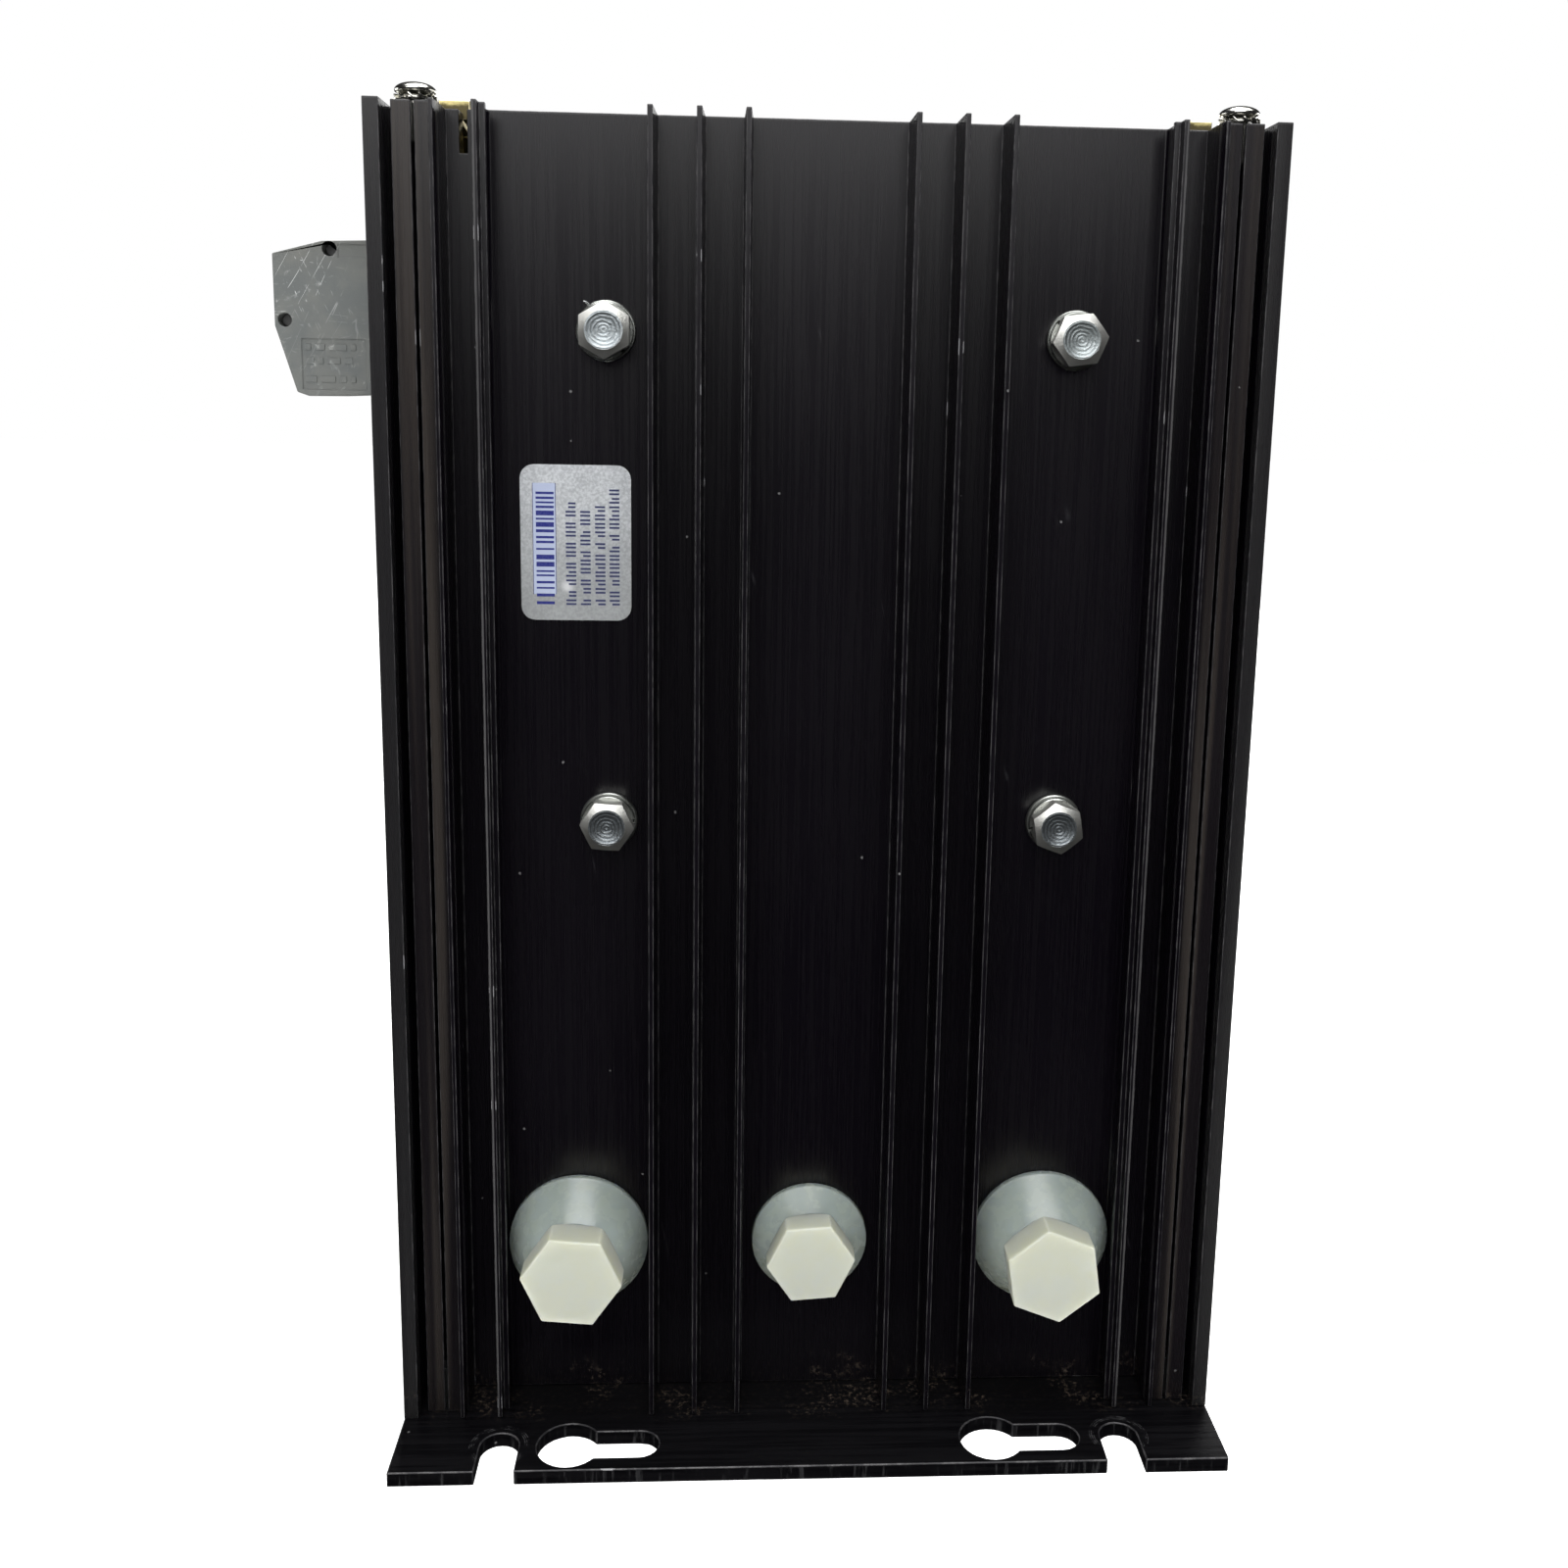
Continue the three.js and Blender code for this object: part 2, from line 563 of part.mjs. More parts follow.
[['left', -PORT_X], ['right', PORT_X]].forEach(([place, x]) => {
  const washerMesh = addPart(`toothed_washer_${place}`, toothedWasher(), 'zinc');
  washerMesh.position.set(x, PORT_Y, TOP_Z + SEAT);
  const head = panHead(END_HEAD_RADIUS, END_HEAD, END_THREAD, END_SHANK, END_RECESS);
  const screw = addPart(`end_screw_${place}`, head, 'zinc');
  screw.position.set(x, PORT_Y, TOP_Z + 2 * SEAT + TOOTH_WASHER);
});

// ---- Label -----------------------------------------------------------------

function roundedRectangle(width, height, radius) {
  const right = width / 2 - radius;
  const top = height / 2 - radius;
  return polygon([
    ...arcPoints(right, top, radius, 0, 90, 6), ...arcPoints(-right, top, radius, 90, 180, 6),
    ...arcPoints(-right, -top, radius, 180, 270, 6), ...arcPoints(right, -top, radius, 270, 360, 6),
  ]);
}

const labelHolder = facingFront(
  -STEPPED_INNER + LABEL_INSET + LABEL_WIDTH / 2, BASE_Z + HEX_LOW + LABEL_RISE + LABEL_HEIGHT / 2,
);
const labelPlate = extrude(roundedRectangle(LABEL_WIDTH, LABEL_HEIGHT, LABEL_CORNER), LABEL_THICKNESS);
addPart('label', labelPlate.translate(0, 0, SEAT), 'foil', labelHolder);

// ---- Terminal blocks -------------------------------------------------------

const TERMINAL_TOP = TOP_Z - TERMINAL_DROP;
const TERMINAL_Y = TIP_Y + SIDE_WALL_DEPTH + TERMINAL_FRONT;
const OUTER_SHOULDER = COVER_OUTER - HALF + SEAT;
const INNER_SHOULDER = COVER_OUTER - HALF - SHEET - SEAT;
const INNER_END = INNER_SHOULDER - 14;
const WINDOW = [-5, -TERMINAL_HEIGHT + 5];    // neck of the block, from its top
const BAR_TOP = -BAR_DEPTH;
const BAR_BOTTOM = BAR_TOP - BAR_THICKNESS;
const CAGE_NUT_BOTTOM = BAR_TOP + 0.2;
const CAGE_TOP = CAGE_NUT_BOTTOM + CAGE_NUT;
const CAGE_BOTTOM = BAR_BOTTOM - WIRE_SPACE - CAGE_FLOOR;
const CHAMBER_TOP = CAGE_TOP + CLAMP_TRAVEL + 1.5;
const CHAMBER_BOTTOM = CAGE_BOTTOM - 0.8;
const CLAMP_LEDGE = CHAMBER_TOP + 2.6;

// Points given outwards from the heat sink's side and down from the block's top
function terminalBox(u0, u1, halfWidth, w0, w1) {
  return box(-HALF - u1, -HALF - u0, -halfWidth, halfWidth, TERMINAL_TOP + w0, TERMINAL_TOP + w1);
}

function clampBore(radius, w0, w1) {
  return rod(radius, -HALF - CLAMP_AXIS, 0, TERMINAL_TOP + w0, TERMINAL_TOP + w1);
}

function terminalHousing() {
  const floor = -TERMINAL_HEIGHT;
  const outline = [
    [OUTER_SHOULDER, 0], [6, 0], [14.6, -0.3], [TERMINAL_REACH, -3], [TERMINAL_REACH, -17.6],
    [TERMINAL_REACH - 4.1, floor + 0.8], [TERMINAL_REACH - 6.5, floor], [6, floor + 0.6],
    [OUTER_SHOULDER, floor + 0.6], [OUTER_SHOULDER, WINDOW[1]], [INNER_SHOULDER, WINDOW[1]],
    [INNER_SHOULDER, floor + 2], [INNER_END, floor + 2], [INNER_END, -2],
    [INNER_SHOULDER, -2], [INNER_SHOULDER, WINDOW[0]], [OUTER_SHOULDER, WINDOW[0]],
  ];
  const shape = polygon(outline.map(([u, w]) => [-HALF - u, TERMINAL_TOP + w]));
  const body = extrude(shape, TERMINAL_BODY).rotateX(Math.PI / 2).translate(0, TERMINAL_BODY / 2, 0);
  const wireTop = BAR_BOTTOM - 0.6;
  const face = TERMINAL_BODY / 2;
  const room = SLIDE_CLEARANCE;
  const markingY = -face - 1 + MARKING_DEPTH;
  const tools = [
    clampBore(CLAMP_HEAD_RADIUS + 0.15, CLAMP_LEDGE, 1),
    clampBore(CLAMP_THREAD + SCREW_CLEARANCE, CHAMBER_TOP - 1, CLAMP_LEDGE + 1),
    terminalBox(
      CLAMP_AXIS - CAGE_HALF - room, CLAMP_AXIS + CAGE_HALF + room, CAGE_SIDE + room,
      CHAMBER_BOTTOM, CHAMBER_TOP,
    ),
    terminalBox(CLAMP_AXIS, TERMINAL_REACH + 1, WIRE_ENTRY / 2, wireTop - WIRE_ENTRY, wireTop),
    terminalBox(INNER_END - 1, CLAMP_AXIS, BAR_HALF + room, BAR_BOTTOM - room, BAR_TOP + room),
    terminalBox(6.4, 19.6, 1, -30.6, -20.2).translate(0, markingY, 0),
    terminalBox(5.5, 11.4, 1, -3.6, -0.9).translate(0, markingY, 0),
  ];
  for (const [u, w] of PIN_HOLES) {
    tools.push(rodY(PIN_RADIUS, -HALF - u, TERMINAL_TOP + w, -face - 1, face + 1, 14));
  }
  return cut(body, tools);
}

function terminalScrew() {
  const underHead = CLAMP_LEDGE + 0.2;
  const shank = clampBore(CLAMP_THREAD, BAR_TOP + 0.1, underHead + 0.5);
  const head = clampBore(CLAMP_HEAD_RADIUS - 0.1, underHead, underHead + CLAMP_HEAD);
  const slot = terminalBox(
    CLAMP_AXIS - 4, CLAMP_AXIS + 4, 0.4, underHead + CLAMP_HEAD - 1, underHead + CLAMP_HEAD + 1,
  );
  return cut(join([shank, head]), [slot]);
}

function terminalCage() {
  const inner = CAGE_SIDE - CAGE_WALL;
  const body = terminalBox(CLAMP_AXIS - CAGE_HALF, CLAMP_AXIS + CAGE_HALF, CAGE_SIDE, CAGE_BOTTOM, CAGE_TOP);
  return cut(body, [
    terminalBox(CLAMP_AXIS - 4, CLAMP_AXIS + 4, inner, CAGE_BOTTOM + CAGE_FLOOR, CAGE_NUT_BOTTOM),
    clampBore(CLAMP_THREAD + SLIDE_CLEARANCE, CAGE_NUT_BOTTOM - 1, CAGE_TOP + 1),
  ]);
}

function terminalBar() {
  return terminalBox(INNER_END - 6, CLAMP_AXIS + CAGE_HALF, BAR_HALF, BAR_BOTTOM, BAR_TOP);
}

for (let i = 0; i < TERMINAL_COUNT; i += 1) {
  const holder = new THREE.Group();
  holder.position.y = TERMINAL_Y + TERMINAL_BODY / 2 + i * TERMINAL_PITCH;
  group.add(holder);
  addPart(`terminal_housing_${i + 1}`, terminalHousing(), 'terminal', holder);
  addPart(`terminal_screw_${i + 1}`, terminalScrew(), 'zinc', holder);
  addPart(`terminal_cage_${i + 1}`, terminalCage(), 'brass', holder);
  addPart(`terminal_bar_${i + 1}`, terminalBar(), 'brass', holder);
}

// ---- Cover -----------------------------------------------------------------

function stadium(length, width) {
  const reach = (length - width) / 2;
  return polygon([
    ...arcPoints(reach, 0, width / 2, -90, 90, 2), ...arcPoints(-reach, 0, width / 2, 90, 270, 2),
  ]);
}

function cover() {
  const outer = box(-COVER_OUTER, COVER_OUTER, COVER_FRONT, COVER_BACK, BASE_Z, TOP_Z);
  const inside = COVER_OUTER - SHEET;
  const hollow = box(-inside, inside, COVER_FRONT - 1, COVER_BACK - SHEET, BASE_Z + SHEET, TOP_Z - SHEET);
  const lugEdge = HALF - LUG_INSET;
  const lug = box(
    lugEdge - LUG_WIDTH, lugEdge, COVER_FRONT, COVER_FRONT + SHEET, TOP_Z - SHEET, TOP_Z + LUG_HEIGHT,
  );
  const shell = join([cut(outer, [hollow]), lug, lug.clone().translate(LUG_WIDTH - 2 * lugEdge, 0, 0)]);

  const tools = [];
  const vent = extrude(stadium(VENT_LENGTH, VENT_WIDTH), 3 * SHEET).translate(0, 0, -1.5 * SHEET);
  const columnPitch = (2 * COVER_OUTER) / VENT_COLUMNS;
  const middleZ = BASE_Z + SINK_LENGTH / 2;
  for (let column = 0; column < VENT_COLUMNS; column += 1) {
    const x = (column - (VENT_COLUMNS - 1) / 2) * columnPitch;
    for (let row = 0; row < VENT_ROWS; row += 1) {
      const z = middleZ + (row - (VENT_ROWS - 1) / 2) * VENT_PITCH;
      tools.push(vent.clone().rotateX(Math.PI / 2).translate(x, COVER_BACK - SHEET / 2, z));
    }
    for (const y of [2, 4, 6].map((step) => COVER_BACK - step * VENT_PITCH)) {
      tools.push(vent.clone().translate(x, y, BASE_Z + SHEET / 2));
      tools.push(vent.clone().translate(x, y, TOP_Z - SHEET / 2));
    }
  }
  const stackLength = TERMINAL_BODY + (TERMINAL_COUNT - 1) * TERMINAL_PITCH;
  tools.push(box(
    -COVER_OUTER - 1, -COVER_OUTER + SHEET + 1,
    TERMINAL_Y - SLIDE_CLEARANCE, TERMINAL_Y + stackLength + SLIDE_CLEARANCE,
    TERMINAL_TOP + WINDOW[1] - SLIDE_CLEARANCE, TERMINAL_TOP + WINDOW[0] + SLIDE_CLEARANCE,
  ));
  for (const [x, y] of BASE_SCREW_PLACES.slice(2)) {
    tools.push(rod(END_THREAD + SCREW_CLEARANCE, x, y, BASE_Z - 1, BASE_Z + SHEET + 1, 16));
  }
  for (const height of COVER_SCREW_HEIGHTS) {
    tools.push(...sideHoles(BASE_Z + height));
  }
  return cut(shell, tools);
}

addPart('cover', cover(), 'chromate');

[['left', -1], ['right', 1]].forEach(([side, direction]) => {
  COVER_SCREW_HEIGHTS.forEach((height, row) => {
    const head = panHead(COVER_HEAD_RADIUS, COVER_HEAD, COVER_THREAD, COVER_SHANK, COVER_RECESS);
    const screw = addPart(`cover_screw_${side}_${['low', 'high'][row]}`, head, 'zinc');
    screw.position.set(direction * (HALF + SEAT), SIDE_HOLE_Y, BASE_Z + height);
    screw.rotation.y = (direction * Math.PI) / 2;
  });
});

// ---- Power modules and trigger board ----------------------------------------

const MODULE_Z = BASE_Z + HEX_LOW + HEX_PITCH / 2;
const MODULE_FRONT = WEB_BACK + SEAT;
const MODULE_BACK = MODULE_FRONT + MODULE_HEIGHT;
const COLLAR_BACK = MODULE_BACK + STUD_COLLAR;
const BOARD_FRONT = COLLAR_BACK + SEAT;
const BOARD_BACK = BOARD_FRONT + BOARD_THICKNESS;
const STUD_ROWS = [-1, 0, 1].map((step) => MODULE_Z + step * STUD_PITCH);

function powerModule(x) {
  const layer = (halfWidth, halfLength, height) => box(
    x - halfWidth, x + halfWidth, MODULE_FRONT, MODULE_FRONT + height,
    MODULE_Z - halfLength, MODULE_Z + halfLength,
  );
  const half = MODULE_WIDTH / 2;
  const end = HEX_PITCH / 2 + MODULE_MARGIN;
  const bodyEnd = HEX_PITCH / 2 - MODULE_HOLE_INSET;
  const layers = [
    layer(half, end, MODULE_BASE),
    layer(half - 6, end - 1, MODULE_LUG),
    layer(half, bodyEnd + 4, MODULE_HEIGHT - 5),
    layer(half - 7, bodyEnd, MODULE_HEIGHT),
  ];
  const studs = STUD_ROWS.flatMap((z) => [
    rodY(2 * STUD_RADIUS, x, z, MODULE_BACK - 1, COLLAR_BACK),
    rodY(STUD_RADIUS, x, z, MODULE_BACK - 1, COLLAR_BACK + STUD_HEIGHT),
  ]);
  const holes = [-1, 1].map((side) => {
    const z = MODULE_Z + (side * HEX_PITCH) / 2;
    return rodY(HEX_THREAD + SCREW_CLEARANCE, x, z, MODULE_FRONT - 1, MODULE_FRONT + MODULE_LUG + 1);
  });
  return cut(join([...layers, ...studs]), holes);
}

addPart('power_module_left', powerModule(HEX_X[0]), 'moduleCase');
addPart('power_module_right', powerModule(HEX_X[1]), 'moduleCase');

function triggerBoard() {
  const reach = MODULE_WIDTH / 2 - 2;
  const margin = STUD_RADIUS + BOARD_MARGIN;
  const board = box(
    HEX_X[0] - reach, HEX_X[1] + reach, BOARD_FRONT, BOARD_BACK,
    STUD_ROWS[0] - margin, STUD_ROWS[2] + margin,
  );
  const holes = HEX_X.flatMap((x) => STUD_ROWS.map((z) => (
    rodY(STUD_RADIUS + SCREW_CLEARANCE, x, z, BOARD_FRONT - 1, BOARD_BACK + 1)
  )));
  return cut(board, holes);
}

addPart('trigger_board', triggerBoard(), 'board');

const transformer = addPart('pulse_transformer', new THREE.BoxGeometry(...TRANSFORMER), 'moduleCase');
transformer.position.set((HEX_X[0] + HEX_X[1]) / 2, BOARD_BACK + SEAT + TRANSFORMER[1] / 2, MODULE_Z);

export default group;
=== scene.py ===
"""Looks for a two-pole solid state relay on a finned heat sink. Metres, +Z up, fins towards -Y."""
import json
import math
import random

import bpy
from mathutils import Euler, Matrix, Vector

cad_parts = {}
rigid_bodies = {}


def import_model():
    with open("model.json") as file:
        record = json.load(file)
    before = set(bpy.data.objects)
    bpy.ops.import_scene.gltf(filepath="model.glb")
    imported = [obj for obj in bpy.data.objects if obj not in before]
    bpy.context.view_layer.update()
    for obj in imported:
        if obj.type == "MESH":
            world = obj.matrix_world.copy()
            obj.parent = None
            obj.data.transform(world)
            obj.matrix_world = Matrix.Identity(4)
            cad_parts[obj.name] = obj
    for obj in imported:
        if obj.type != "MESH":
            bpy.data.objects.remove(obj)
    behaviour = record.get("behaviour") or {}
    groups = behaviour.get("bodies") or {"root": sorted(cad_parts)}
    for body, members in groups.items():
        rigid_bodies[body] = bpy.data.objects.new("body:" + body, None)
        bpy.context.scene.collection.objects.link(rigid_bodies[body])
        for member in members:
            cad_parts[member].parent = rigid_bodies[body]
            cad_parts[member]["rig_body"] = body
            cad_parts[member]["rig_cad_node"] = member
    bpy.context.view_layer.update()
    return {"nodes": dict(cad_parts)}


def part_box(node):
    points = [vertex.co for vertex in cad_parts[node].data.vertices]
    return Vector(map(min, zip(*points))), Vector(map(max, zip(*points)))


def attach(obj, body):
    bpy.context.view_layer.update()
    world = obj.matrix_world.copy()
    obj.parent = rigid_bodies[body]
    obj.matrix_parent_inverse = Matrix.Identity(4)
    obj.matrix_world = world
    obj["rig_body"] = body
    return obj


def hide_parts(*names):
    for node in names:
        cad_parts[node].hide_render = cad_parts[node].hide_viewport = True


MM = 0.001
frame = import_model()

# ---- Places read from the frame ---------------------------------------------


def middle(node):
    low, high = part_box(node)
    return (low + high) / 2


SINK_LOW, SINK_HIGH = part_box("heatsink")
PLATE_LOW, PLATE_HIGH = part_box("base_plate")
LABEL_LOW, LABEL_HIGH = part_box("label")
BLOCK_LOW, BLOCK_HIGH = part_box("terminal_housing_1")
COVER_LOW, COVER_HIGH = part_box("cover")
TIP_Y = SINK_LOW.y
SIDES = ("left", "right")
ROWS = ("low", "high")
THIRDS = ("left", "middle", "right")

# Sizes of the pieces that are made again here, as the frame has them
HEX_FLATS = 10 * MM
HEX_HEAD = 3.9 * MM
HEX_FACE = 3.85 * MM
NYLON_FLATS = {"left": 19 * MM, "middle": 17 * MM, "right": 19 * MM}
NYLON_HEAD = {"left": 7.5 * MM, "middle": 6.4 * MM, "right": 7.5 * MM}
COLLAR_TOP = {"left": 9.8 * MM, "middle": 8.8 * MM, "right": 9.8 * MM}
COLLAR_LIP = 2 * MM
SIDE_SLOT_X = 67.7 * MM
HOLE_ROW = 7.9 * MM
FLAT_WASHER = (3.3 * MM, 6.1 * MM, 1.2 * MM)      # bore radius, rim radius, thickness
SPRING_WASHER = (3.3 * MM, 5.7 * MM, 1.5 * MM)
END_HEAD = 2.5 * MM
COVER_HEAD = 1.9 * MM
TOOTH_COUNT = 12
TERMINALS = range(1, 5)
# Distances from the heat sink's middle plane: the screw ports' faces, and painted highlight lines down the
# front, each with its tone
PORT_FACES = (0.0765, 0.0852)
FRONT_HIGHLIGHTS = ((0.0754, 0.0765, 0.055), (0.06895, 0.0696, 0.05), (0.0867, 0.0901, 0.012))

# ---- Shaping by hand --------------------------------------------------------


def take(*pieces):
    """Selects only these pieces, and makes the first one active."""
    bpy.ops.object.select_all(action="DESELECT")
    for piece in pieces:
        piece.select_set(True)
    bpy.context.view_layer.objects.active = pieces[0]


def settle(piece, location=(0, 0, 0), rotation=(0, 0, 0)):
    """Puts a piece in its place and leaves its object at the origin."""
    take(piece)
    piece.matrix_world = Matrix.LocRotScale(Vector(location), Euler(rotation), piece.scale)
    bpy.ops.object.transform_apply(location=True, rotation=True, scale=True)
    return piece


def block(name, low, high):
    """Block from its lowest corner to its highest."""
    low, high = Vector(low), Vector(high)
    bpy.ops.mesh.primitive_cube_add(size=1, location=(low + high) / 2)
    piece = bpy.context.object
    piece.name = name
    piece.scale = high - low
    bpy.ops.object.transform_apply(location=True, rotation=True, scale=True)
    return piece


def post(name, radius, bottom, top, sides=48):
    """Upright bar of so many sides on the Z axis, with a corner on X."""
    bpy.ops.mesh.primitive_cylinder_add(
        vertices=sides, radius=radius, depth=top - bottom,
        location=(0, 0, (bottom + top) / 2), rotation=(0, 0, math.pi / 2),
    )
    piece = bpy.context.object
    piece.name = name
    bpy.ops.object.transform_apply(location=True, rotation=True, scale=True)
    return piece


def turned(name, profile, steps=96):
    """Turned piece from (radius, height) points that end on the Z axis or go round a closed section."""
    bpy.ops.mesh.primitive_circle_add(vertices=len(profile), fill_type="NOTHING")
    piece = bpy.context.object
    piece.name = name
    for vertex, (radius, height) in zip(piece.data.vertices, profile):
        vertex.co = (radius, 0, height)
    bpy.ops.object.mode_set(mode="EDIT")
    bpy.ops.mesh.select_all(action="SELECT")
    bpy.ops.mesh.spin(steps=steps, angle=math.tau, center=(0, 0, 0), axis=(0, 0, 1))
    bpy.ops.mesh.select_all(action="SELECT")
    bpy.ops.mesh.remove_doubles(threshold=0.0005 * MM)
    bpy.ops.mesh.delete_loose()
    bpy.ops.mesh.select_all(action="SELECT")
    bpy.ops.mesh.normals_make_consistent(inside=False)
    bpy.ops.object.mode_set(mode="OBJECT")
    return piece


def arc(centre, radius, start, end, steps):
    """Points of an arc, with angles in degrees."""
    angles = [math.radians(start + (end - start) * i / steps) for i in range(steps + 1)]
    return [(centre[0] + radius * math.cos(a), centre[1] + radius * math.sin(a)) for a in angles]


def apply(piece, kind, **settings):
    """Adds one modifier and applies it."""
    take(piece)
    modifier = piece.modifiers.new(kind.lower(), kind)
    for key, value in settings.items():
        setattr(modifier, key, value)
    bpy.ops.object.modifier_apply(modifier=modifier.name)
    return piece


def round_edges(piece, width, segments=2, angle=35, clamp=True):
    return apply(
        piece, "BEVEL", width=width, segments=segments, limit_method="ANGLE",
        angle_limit=math.radians(angle), use_clamp_overlap=clamp,
    )


def boolean(piece, operation, *tools):
    for tool in tools:
        apply(piece, "BOOLEAN", operation=operation, object=tool, solver="EXACT")
        discard(tool)
    return piece


def edit_faces(piece, wanted):
    """Opens a piece for editing, with only the faces selected whose normal is wanted."""
    bpy.ops.object.mode_set(mode="EDIT")
    bpy.ops.mesh.select_all(action="DESELECT")
    bpy.ops.object.mode_set(mode="OBJECT")
    for face in piece.data.polygons:
        face.select = wanted(face.normal)
    bpy.ops.object.mode_set(mode="EDIT")


def discard(*pieces):
    for piece in pieces:
        bpy.data.objects.remove(piece)


def joined(first, *others):
    take(first, *others)
    bpy.ops.object.join()
    return first


def duplicate(piece, name):
    """Copy with a mesh of its own."""
    copy = piece.copy()
    copy.data = piece.data.copy()
    copy.name = name
    bpy.context.scene.collection.objects.link(copy)
    return copy


def copied(node, name):
    """The frame's own piece as a copy with its faces merged, ready for rounding."""
    piece = duplicate(frame["nodes"][node], name)
    piece.parent = None
    piece.data.materials.clear()
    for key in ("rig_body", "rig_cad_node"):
        if key in piece:
            del piece[key]
    take(piece)
    bpy.ops.object.mode_set(mode="EDIT")
    bpy.ops.mesh.select_all(action="SELECT")
    bpy.ops.mesh.remove_doubles(threshold=0.002 * MM)
    bpy.ops.mesh.dissolve_limited(angle_limit=math.radians(0.5))
    bpy.ops.object.mode_set(mode="OBJECT")
    return piece


def hand_over(piece, material, stands_for=(), body="relay", smooth=35):
    """Gives a piece its finish, and hands it to the body that it rides on."""
    take(piece)
    if not piece.data.materials:
        piece.data.materials.append(material)
    bpy.ops.object.shade_smooth_by_angle(angle=math.radians(smooth))
    apply(piece, "WEIGHTED_NORMAL", keep_sharp=True)
    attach(piece, body)
    if stands_for:
        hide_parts(*stands_for)
    return piece


# ---- Nodes of the finishes --------------------------------------------------


def put(tree, kind, inputs=None, **settings):
    """Adds a node. Each input is given a value, or another node's output socket."""
    made = tree.nodes.new(kind)
    for key, value in settings.items():
        setattr(made, key, value)
    for key, value in (inputs or {}).items():
        if isinstance(value, bpy.types.NodeSocket):
            tree.links.new(value, made.inputs[key])
        else:
            made.inputs[key].default_value = value
    return made


def maths(tree, operation, first, second=0.0, clamp=False):
    inputs = {0: first, 1: second}
    return put(tree, "ShaderNodeMath", inputs, operation=operation, use_clamp=clamp).outputs[0]


def ramp(tree, value, low, high, start=0.0, end=1.0):
    """Value carried smoothly from low..high to start..end."""
    inputs = {"Value": value, "From Min": low, "From Max": high, "To Min": start, "To Max": end}
    return put(tree, "ShaderNodeMapRange", inputs, interpolation_type="SMOOTHSTEP").outputs[0]


def times(tree, first, *others):
    for other in others:
        first = maths(tree, "MULTIPLY", first, other)
    return first


def axes(tree, vector):
    """The X, Y and Z of a vector."""
    return put(tree, "ShaderNodeSeparateXYZ", {"Vector": vector}).outputs


def length(tree, vector):
    return put(tree, "ShaderNodeVectorMath", {0: vector}, operation="LENGTH").outputs["Value"]


def mapped(tree, vector, **changes):
    """Vector with a Location, Rotation or Scale of its own."""
    return put(tree, "ShaderNodeMapping", {"Vector": vector, **changes}).outputs[0]


def blend_colours(tree, mask, first, second):
    """Second colour over the first by a mask. A colour is a socket, or red, green and blue."""
    first, second = [c if isinstance(c, bpy.types.NodeSocket) else (*c, 1) for c in (first, second)]
    return put(tree, "ShaderNodeMix", {0: mask, 6: first, 7: second}, data_type="RGBA").outputs[2]


def tint(tree, colour, mask, share, over):
    """Lays a colour over another by a share of a mask."""
    return blend_colours(tree, times(tree, mask, share), colour, over)


def paled(tone, share):
    return tuple(share * c for c in tone)


def noise(tree, vector, scale, detail=3.0, roughness=0.55, distortion=0.0):
    inputs = {
        "Vector": vector, "Scale": scale, "Detail": detail,
        "Roughness": roughness, "Distortion": distortion,
    }
    return put(tree, "ShaderNodeTexNoise", inputs).outputs["Fac"]


def new_group(name, inputs, outputs):
    """Empty node group with its sockets, its input node and its output node."""
    tree = bpy.data.node_groups.new(name, "ShaderNodeTree")
    for label, kind, value in inputs:
        socket = tree.interface.new_socket(label, in_out="INPUT", socket_type=kind)
        if value is not None:
            socket.default_value = value
    for label, kind in outputs:
        tree.interface.new_socket(label, in_out="OUTPUT", socket_type=kind)
    return tree, tree.nodes.new("NodeGroupInput").outputs, tree.nodes.new("NodeGroupOutput").inputs


VECTOR, FLOAT = "NodeSocketVector", "NodeSocketFloat"


def make_band_group():
    """1 where a value lies between two limits, with soft ends."""
    tree, given, result = new_group(
        "band",
        [("Value", FLOAT, 0.0), ("Low", FLOAT, 0.0), ("High", FLOAT, 1.0), ("Soft", FLOAT, 0.001)],
        [("Mask", FLOAT)],
    )
    above = maths(tree, "SUBTRACT", given["Value"], given["Low"])
    below = maths(tree, "SUBTRACT", given["High"], given["Value"])
    rise = maths(tree, "DIVIDE", above, given["Soft"], True)
    fall = maths(tree, "DIVIDE", below, given["Soft"], True)
    tree.links.new(times(tree, rise, fall), result["Mask"])
    return tree


def make_die_line_group():
    """Fine streaks along Z, as an extrusion has them, and broader ones under them."""
    tree, given, result = new_group(
        "die_lines",
        [("Vector", VECTOR, None), ("Density", FLOAT, 900.0)],
        [("Fine", FLOAT), ("Broad", FLOAT)],
    )
    squeezed = mapped(tree, given["Vector"], Scale=(1, 1, 0.012))
    fine = noise(tree, squeezed, given["Density"], 4.0, 0.7)
    broad_scale = times(tree, given["Density"], 0.16)
    broad = noise(tree, squeezed, broad_scale, 2.0, 0.5)
    tree.links.new(ramp(tree, fine, 0.36, 0.64), result["Fine"])
    tree.links.new(ramp(tree, broad, 0.3, 0.7), result["Broad"])
    return tree


